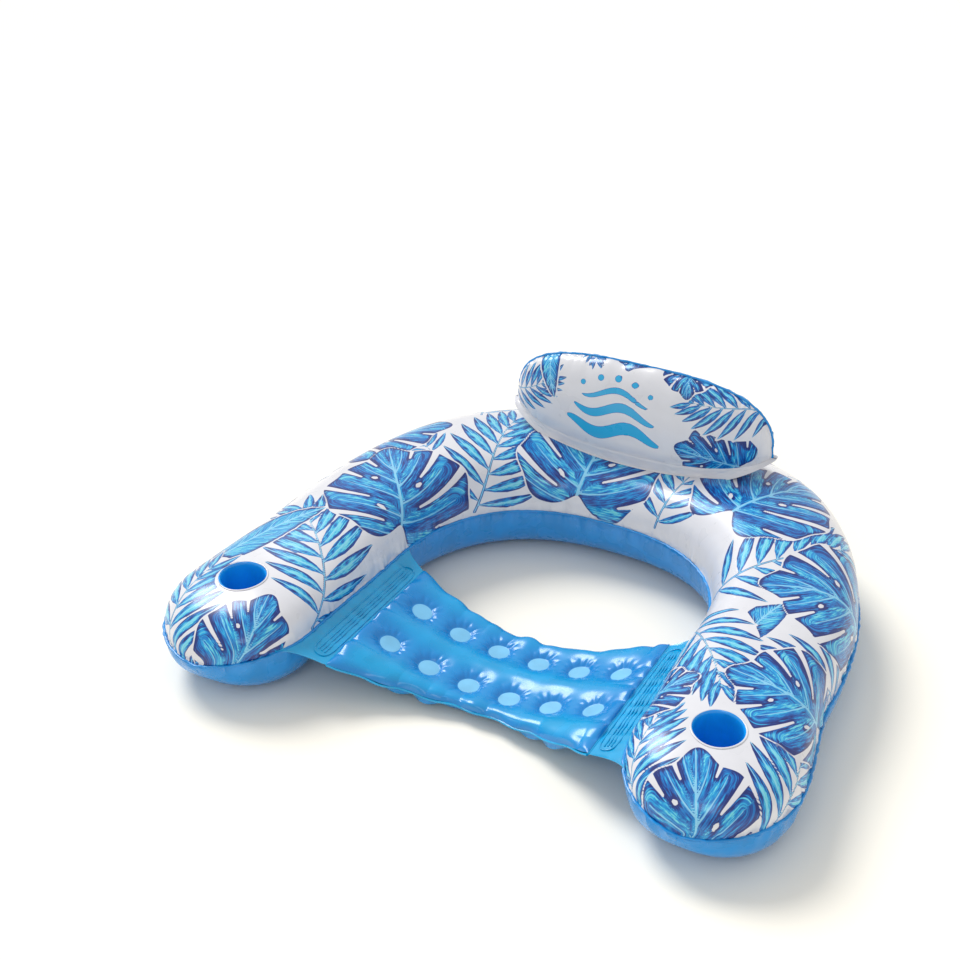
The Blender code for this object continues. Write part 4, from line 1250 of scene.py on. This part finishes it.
class POOLFLOAT_OT_strips(bpy.types.Operator):
    """Make the ribbed strips that join the seat to the arms"""
    bl_idname = "pool_float.strips"
    bl_label = "Seat Strips"

    def execute(self, context):
        colours, _ = settings(context)
        ribbed = embossed_material("embossed_bright_vinyl_strip", colours.film_bright)
        fine = ring_stations()
        order = np.argsort(fine[1])
        reach = STRIP_LENGTH / 2
        seat_front, seat_back = seat_edges(SEAT_HALF_WIDTH)
        middle = (seat_front + seat_back) / 2
        y = np.linspace(STRIP_Y - reach - STRIP_TAIL, STRIP_Y + reach, 170)
        arm = np.interp(y, fine[1][order], fine[0][order]) - 0.0006
        # Past the seat's corners the film draws away to the arm in a hollow curve.
        past = np.clip((seat_front - y) / (seat_front - y[0]), 0, 1)
        past = np.maximum(past, np.clip((y - seat_back) / (y[-1] - seat_back), 0, 1))
        gap = arm - SEAT_HALF_WIDTH
        rise = INNER_SEAM - SEAT_HIGH
        start = SEAT_HALF_WIDTH + 0.0006 + (gap - 0.0016) * (1 - (1 - past) ** 2.4)
        low = SEAT_HIGH + rise * (start - SEAT_HALF_WIDTH) / gap

        def across(share, line, lift):
            x = start[line] + (arm[line] - start[line]) * share
            return np.stack([x, y[line], low[line] + (INNER_SEAM - low[line]) * share + lift], -1)

        # Three straight ribs, and one more round them with square corners
        ribs = [across(share, np.flatnonzero(np.abs(y - middle) < RIB_SPAN - 0.010),
                       RIB_LIFT - STRIP_SAG * math.sin(math.pi * share)) for share in RIB_SHARES]
        turn = np.linspace(0, 2 * np.pi, 241)[:-1]
        along = middle + RIB_SPAN * np.sign(np.cos(turn)) * np.abs(np.cos(turn)) ** 0.12
        share = 0.40 + 0.26 * np.sin(turn)
        x = SEAT_HALF_WIDTH + np.interp(along, y, gap) * share
        height = SEAT_HIGH + rise * share + RIB_LIFT - STRIP_SAG * np.sin(np.pi * share)
        loop = evenly(np.stack([x, along, height], 1), EDGE_STEP)[0]
        ribs.append(np.concatenate([loop, loop[:1]]))
        sag = (1 - past) ** 2 * (0.0010 * waves(y, 0.034, seed=14) - STRIP_SAG)
        rows = np.array([across(share, slice(None), math.sin(math.pi * share) * sag)
                         for share in np.linspace(0, 1, 34)])
        for name, hand in (("left_seat_strip", 1), ("right_seat_strip", -1)):
            mesh = grid_mesh(name + "_sheet", rows * (hand, 1, 1), flip=hand > 0)
            add_piece(mesh, ribbed, "bright_blue_vinyl", (name,), thick=STRIP_FILM)
            beads(name + "_ribs", [rib * (hand, 1, 1) for rib in ribs], *RIB_BEAD, ribbed,
                  "bright_blue_vinyl", (name,))
        return {"FINISHED"}


# The pillow

def pillow_outline(angle):
    """X of a pillow section, and the heights of its base, its crease and its top weld."""
    across = np.sin(angle)
    x = PILLOW_HALF_WIDTH * np.sign(across) * np.abs(across) ** (2 / PILLOW_POWER)
    rise = np.clip(1 - np.abs(x / PILLOW_HALF_WIDTH) ** PILLOW_POWER, 0, None)
    base = PILLOW_END + (PILLOW_BASE - PILLOW_END) * rise
    crease = PILLOW_END + (PILLOW_BASE + PILLOW_BAND - PILLOW_END) * rise
    top = PILLOW_END + (PILLOW_TOP - PILLOW_END) * rise ** (1 / PILLOW_POWER)
    return x, base, crease, top


def pillow_half_thickness(x, base, top, height):
    """How far a pillow skin stands off the pillow's middle at a height."""
    up = np.clip((height - base) / np.maximum(top - base, 1e-6), 0, 1)
    ends = np.sqrt(np.clip(1 - np.abs(x / PILLOW_HALF_WIDTH) ** PILLOW_POWER, 0, None))
    swell = PILLOW_BASE_THICK + (PILLOW_HALF_THICK - PILLOW_BASE_THICK) * ease(up * 3)
    return ends * swell * arch(up, PILLOW_PROFILE_POWER)


def pillow_middle(height):
    """Y of the pillow's middle, which leans forward with its height."""
    return PILLOW_Y - PILLOW_LEAN * (height - PILLOW_BASE) / (PILLOW_TOP - PILLOW_BASE)


# Leaves on the pillow: kind, x and height up the film, heading in degrees, length, bend and tone
PILLOW_LEAVES = (
    (blade, -0.2, 0.225, -76, 0.15, 0.35, 0.05), (frond, -0.275, 0.06, 30, 0.125, 0.4, 0.2),
    (split_leaf, -0.012, 0.262, -96, 0.1, 0.1, 0.1), (split_leaf, 0.085, 0.238, -80, 0.105, -0.1, 0.05),
    (frond, -0.12, 0.262, -72, 0.095, 0.3, 0.2), (frond, 0.268, 0.15, 186, 0.16, -0.3, 0.2),
    (split_leaf, 0.245, 0.012, 170, 0.16, 0.2, -0.02),
)
BAND_FLARE = 0.010       # how far the base band spreads where it meets the ring
MOTIF_PLACE = (-0.036, 0.044)
MOTIF_SIZE = 1.3
# The motif's waves: height, thickness and half width
MOTIF_WAVES = ((0.0, 0.0105, 0.076), (0.030, 0.0075, 0.066), (0.054, 0.0048, 0.054))
PILLOW_PANEL = (0.80, 0.20)      # usual size of a pillow panel across and up, for its mesh
# Puckers and creases at the pillow's top weld and its base: height, pitch and reach
PILLOW_PUCKER = (0.0017, 0.017, 0.012)
PILLOW_CREASE = (0.0022, 0.045, 0.034)
PILLOW_BASE_PUCKER = (0.0016, 0.040, 0.014)


def wave_motif(pattern):
    """A plain one-colour motif: three stacked waves with a row of dots above them."""
    x, up = ((pattern.film - MOTIF_PLACE) / MOTIF_SIZE).T
    inside = np.full(len(x), -FAR_OUT)
    for low, thick, half in MOTIF_WAVES:
        crest = low + 0.0085 * np.sin(x / 0.0165 + 25 * low)
        taper = thick * np.sqrt(np.clip(1 - (x / half) ** 2, 0, 1))
        depth = 0.75 * (taper - np.abs(up - crest))
        inside = np.maximum(inside, np.where(np.abs(x) < half, depth, -FAR_OUT))
    for k in range(-2, 3):
        away = np.hypot(x - k * 0.027, up - 0.080 + 0.004 * k * k)
        inside = np.maximum(inside, 0.0056 - 0.0007 * abs(k) - away)
    inside *= MOTIF_SIZE
    chosen = np.flatnonzero(inside > -0.006)
    plain = np.zeros(len(chosen))
    pattern.keep(chosen, inside[chosen], plain + 0.05, plain, plain, plain, -0.06, sharper=8.0)


def pillow_panel(name, side, material, slot, node, sizes):
    """One skin of the pillow; side is -1 for the printed front and 1 for the back."""
    columns, rows = (int(size / sizes.pillow_cell) for size in PILLOW_PANEL)
    angle = np.linspace(-np.pi / 2, np.pi / 2, columns)[:, None]
    x, base, crease, top = pillow_outline(angle)
    height = crease + (top - crease) * np.sin(np.linspace(0, np.pi / 2, rows))
    half = pillow_half_thickness(x, base, top, height)
    y = pillow_middle(height) + side * (half + SEAM_LID)
    points = np.stack([np.repeat(x, rows, 1), y, height], 2)
    up = runs_along(points, 1)
    film = np.stack([points[:, :, 0], up + crease - crease.min()], 2)
    edge = up[:, -1:] - up
    seam = evenly(np.concatenate([x, top], 1), 0.002)[1]
    run = np.interp(angle, np.linspace(-np.pi / 2, np.pi / 2, len(seam)), seam) + 0 * up
    lift = pucker(run, edge, 31 + side, *PILLOW_PUCKER)
    lift += pucker(run, edge, 33 + side, *PILLOW_CREASE)
    lift += pucker(run, up, 35 + side, *PILLOW_BASE_PUCKER)
    normals = grid_normals(points)
    outward = 1 if normals[columns // 2, rows // 2, 1] * side > 0 else -1
    lift *= valve_calm(points)
    lift *= np.clip(edge / 0.002, 0, 1) * np.clip((top - crease) / 0.05, 0, 1)
    points = points + normals * (outward * lift)[:, :, None]
    keep = None
    if side > 0:
        points, keep = valve_hole(points, "pillow_valve", sizes.pillow_cell)
    mesh = grid_mesh(name, points, keep, flip=outward > 0)
    if side < 0:
        pattern = Print(film.reshape(-1, 2))
        wave_motif(pattern)
        pattern.draw(PILLOW_LEAVES)
        pattern.store(mesh)
    return add_piece(mesh, material, slot, (node,), thick=sizes.film)


class POOLFLOAT_OT_pillow(bpy.types.Operator):
    """Make the head pillow: printed front, blue back, white base band and welded top edge"""
    bl_idname = "pool_float.pillow"
    bl_label = "Pillow"

    def execute(self, context):
        colours, sizes = settings(context)
        printed = printed_film("gravure_printed_pillow_film", colours)
        blue = film_material("calendered_blue_pillow_film", colours.film_blue)
        white = film_material("calendered_white_vinyl_film", colours.film_white, roughness=0.3,
                              depth=0.96)
        for name, side, film, slot, node in (
                ("pillow_front_panel", -1, printed, "white_vinyl", "pillow_front_skin"),
                ("pillow_back_panel", 1, blue, "blue_vinyl", "pillow_back_skin")):
            panel = pillow_panel(name, side, film, slot, node, sizes)
        x, base, crease, top = pillow_outline(np.linspace(-np.pi / 2, np.pi / 2, 260))
        path, run = evenly(np.stack([x, pillow_middle(top), top], 1), 0.003)
        tangent = np.gradient(path, axis=0)
        out = unit(np.stack([-tangent[:, 2], np.zeros(len(path)), tangent[:, 0]], 1))
        path = path + out * (0.0016 + 0.0005 * waves(run, 0.034, seed=51))[:, None]
        path[:, 1] += 0.0005 * waves(run, 0.027, seed=52)
        beads("pillow_weld_edge", [path], sizes.bead_thick, sizes.bead_width, blue, "blue_vinyl",
              ("pillow_front_skin", "pillow_back_skin"))
        ring_top = ring_top_finder()
        rows = []
        shares = np.linspace(0, 1, 22)
        for side, order in ((-1, shares), (1, shares[::-1])):
            for share in order:
                height = crease + (base - crease) * share
                half = pillow_half_thickness(x, base, top, height)
                # The band is pinched in just below its weld to the skins, and ripples.
                pinch = 0.0016 * np.exp(-((share - 0.06) / 0.05) ** 2)
                pinch = pinch * ease((crease - base) / 0.02)
                fold = 0.0006 * waves(x + 0.4, 0.030, seed=61 + int(6 * share))
                fold = fold * math.sin(math.pi * share)
                y = pillow_middle(height) + side * (half + LID - pinch + fold)
                way_x, way_y = unit(np.stack([np.gradient(x), np.gradient(y)], 1)).T
                flare = side * BAND_FLARE * share ** 1.5
                out_x, out_y = x - way_y * flare, y + way_x * flare
                low = np.array([ring_top(a, b) for a, b in zip(out_x, out_y)]) + 0.0004
                rows.append(np.stack([out_x, out_y, np.maximum(height, low)], 1))
        mesh = grid_mesh("pillow_base_skirt", np.array(rows))
        add_piece(mesh, white, "white_vinyl", ("pillow_base_band",), thick=sizes.film)
        return {"FINISHED"}


# The valves

RIM_RADIUS, RIM_LEVEL = 0.0093, 0.00105          # where a strap leaves the stem's rim
CAP_RADIUS, CAP_LEVEL = 0.0083, 0.0033           # and where it reaches the plug's cap
STRAP_LENGTH = 0.0150
STRAP_HALF = (0.0021, 0.00045)                   # half a strap's width and thickness
STRAP_SIDES = 17
STRAP_STEP = 0.0004


class POOLFLOAT_OT_valves(bpy.types.Operator):
    """Give the moulded valves their vinyl and make their soft straps"""
    bl_idname = "pool_float.valves"
    bl_label = "Valves"

    def execute(self, context):
        colours, _ = settings(context)
        clear = film_material("moulded_soft_vinyl", colours.valve_clear, roughness=0.32, gloss=0.1)
        for prefix in VALVES:
            for part in ("_flange", "_stem", "_plug", "_flap"):
                node = bpy.data.objects[prefix + part]
                node.data.materials.clear()
                node.data.materials.append(clear)
            place, outward = VALVE_PLACES[prefix]
            turn = Vector(outward).to_track_quat("Z", "Y").to_matrix().to_4x4()
            valve_frame = np.array(Matrix.Translation(place) @ turn)
            bend = (CAP_LEVEL - RIM_LEVEL) / 2
            arc = np.linspace(-np.pi / 2, np.pi / 2, 15)
            line = np.stack([STRAP_LENGTH - bend + bend * np.cos(arc),
                             RIM_LEVEL + bend + bend * np.sin(arc)], 1)
            line = np.vstack([(RIM_RADIUS, RIM_LEVEL), line, (CAP_RADIUS, CAP_LEVEL)])
            line = evenly(line, STRAP_STEP)[0]
            tangent = np.gradient(line, axis=0)
            out = unit(np.stack([-tangent[:, 1], tangent[:, 0]], 1))
            rows = []
            for angle in np.linspace(0, 2 * np.pi, STRAP_SIDES):
                shares = np.array([np.cos(angle), np.sin(angle)])
                across, thick = STRAP_HALF * np.sign(shares) * np.abs(shares) ** 0.5
                spots = line + out * thick
                rows.append(np.stack([spots[:, 0], np.full(len(line), across), spots[:, 1]], 1))
            points = np.array(rows)
            ends = np.broadcast_to(points.mean(axis=0)[[0, -1]], (STRAP_SIDES, 2, 3))
            points = np.concatenate([ends[:, :1], points, ends[:, 1:]], 1)
            flat = np.concatenate([points, np.ones((*points.shape[:2], 1))], 2)
            mesh = grid_mesh(prefix + "_soft_strap", (flat @ valve_frame.T)[:, :, :3], flip=True)
            piece = add_piece(mesh, clear, "valve_vinyl", (prefix + "_strap",), body=None)
            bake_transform(piece)
        return {"FINISHED"}


# Stage

CAMERA_PLACE = (1.0510, -2.2585, 1.7300)
CAMERA_AZIMUTH = math.radians(28.513)
CAMERA_ELEVATION = math.radians(29.88)
CAMERA_LENS = 60.797

FLOOR_HALF = 30.0
WORLD_LIGHT = 0.66
SUN_WAY = (-0.80, 0.32, 1.0)     # from the float to the sun
SUN_LIGHT = 2.1
SUN_WIDTH = math.radians(28)
FILL_PLACE, FILL_TARGET = (0.6, -2.6, 2.2), (0, -0.1, 0.1)
FILL_SIZE = (1.2, 0.8)
FILL_WATTS = 8


def add_light(name, kind, way, energy):
    """A light whose beam comes from the direction way."""
    light = bpy.data.lights.new(name, kind)
    light.energy = energy
    made = add_object(name, light)
    made.rotation_euler = Vector(way).to_track_quat("Z", "Y").to_euler()
    return made


class POOLFLOAT_OT_stage(bpy.types.Operator):
    """Make the studio floor, the lights, the world and the camera"""
    bl_idname = "pool_float.stage"
    bl_label = "Stage"

    def execute(self, context):
        scene = context.scene
        mesh = bpy.data.meshes.new("studio_floor")
        corners = ((-1, -1, 0), (1, -1, 0), (1, 1, 0), (-1, 1, 0))
        mesh.from_pydata(np.multiply(corners, FLOOR_HALF).tolist(), [], [(0, 1, 2, 3)])
        floor = add_object("studio_floor", mesh)
        paper = bpy.data.materials.new("white_paper_floor")
        tree = bare_tree(paper)
        colour = (*scene.pool_float_colours.floor, 1.0)
        matt = add_node(tree, "ShaderNodeBsdfDiffuse", {"Color": colour})
        add_node(tree, "ShaderNodeOutputMaterial", {"Surface": matt.outputs["BSDF"]})
        mesh.materials.append(paper)
        scene.world = bpy.data.worlds.new("studio")
        tree = bare_tree(scene.world)
        light, seen = (add_node(tree, "ShaderNodeBackground",
                                {"Color": (1, 1, 1, 1), "Strength": strength})
                       for strength in (WORLD_LIGHT, 1.0))
        path = add_node(tree, "ShaderNodeLightPath")
        pick = add_node(tree, "ShaderNodeMixShader", {0: path.outputs["Is Camera Ray"],
                                                      1: light.outputs[0], 2: seen.outputs[0]})
        add_node(tree, "ShaderNodeOutputWorld", {"Surface": pick.outputs[0]})
        add_light("key", "SUN", SUN_WAY, SUN_LIGHT).data.angle = SUN_WIDTH
        fill = add_light("front_fill", "AREA", Vector(FILL_PLACE) - Vector(FILL_TARGET), FILL_WATTS)
        fill.location = FILL_PLACE
        fill.data.shape = "RECTANGLE"
        fill.data.size, fill.data.size_y = FILL_SIZE
        camera = bpy.data.cameras.new("product_camera")
        camera.lens = CAMERA_LENS
        camera.sensor_width = 36
        holder = add_object("product_camera", camera)
        holder.location = CAMERA_PLACE
        holder.rotation_euler = (math.pi / 2 - CAMERA_ELEVATION, 0, CAMERA_AZIMUTH)
        scene.camera = holder
        scene.view_settings.view_transform = "Standard"
        return {"FINISHED"}


class POOLFLOAT_PT_panel(bpy.types.Panel):
    """Steps of the pool float"""
    bl_label = "Pool Float"
    bl_idname = "POOLFLOAT_PT_panel"
    bl_space_type = "VIEW_3D"
    bl_region_type = "UI"
    bl_category = "Pool Float"

    def draw(self, context):
        colours, sizes = settings(context)
        for step in STEPS:
            self.layout.operator(step.bl_idname)
        for group in (colours, sizes):
            column = self.layout.column()
            for name in group.__annotations__:
                column.prop(group, name)


STEPS = (POOLFLOAT_OT_top_panels, POOLFLOAT_OT_bottom_panels, POOLFLOAT_OT_ring_welds,
         POOLFLOAT_OT_cups, POOLFLOAT_OT_seat, POOLFLOAT_OT_strips, POOLFLOAT_OT_pillow,
         POOLFLOAT_OT_valves, POOLFLOAT_OT_stage)
GROUPS = (("pool_float_colours", PoolFloatColours), ("pool_float_sizes", PoolFloatSizes))


def register():
    for name, group in GROUPS:
        bpy.utils.register_class(group)
        setattr(bpy.types.Scene, name, bpy.props.PointerProperty(type=group))
    for kind in (*STEPS, POOLFLOAT_PT_panel):
        bpy.utils.register_class(kind)


def unregister():
    for kind in reversed((*STEPS, POOLFLOAT_PT_panel)):
        bpy.utils.unregister_class(kind)
    for name, group in reversed(GROUPS):
        delattr(bpy.types.Scene, name)
        bpy.utils.unregister_class(group)


def main():
    register()
    for step in STEPS:
        category, name = step.bl_idname.split(".")
        getattr(getattr(bpy.ops, category), name)()


if __name__ == "__main__":
    main()
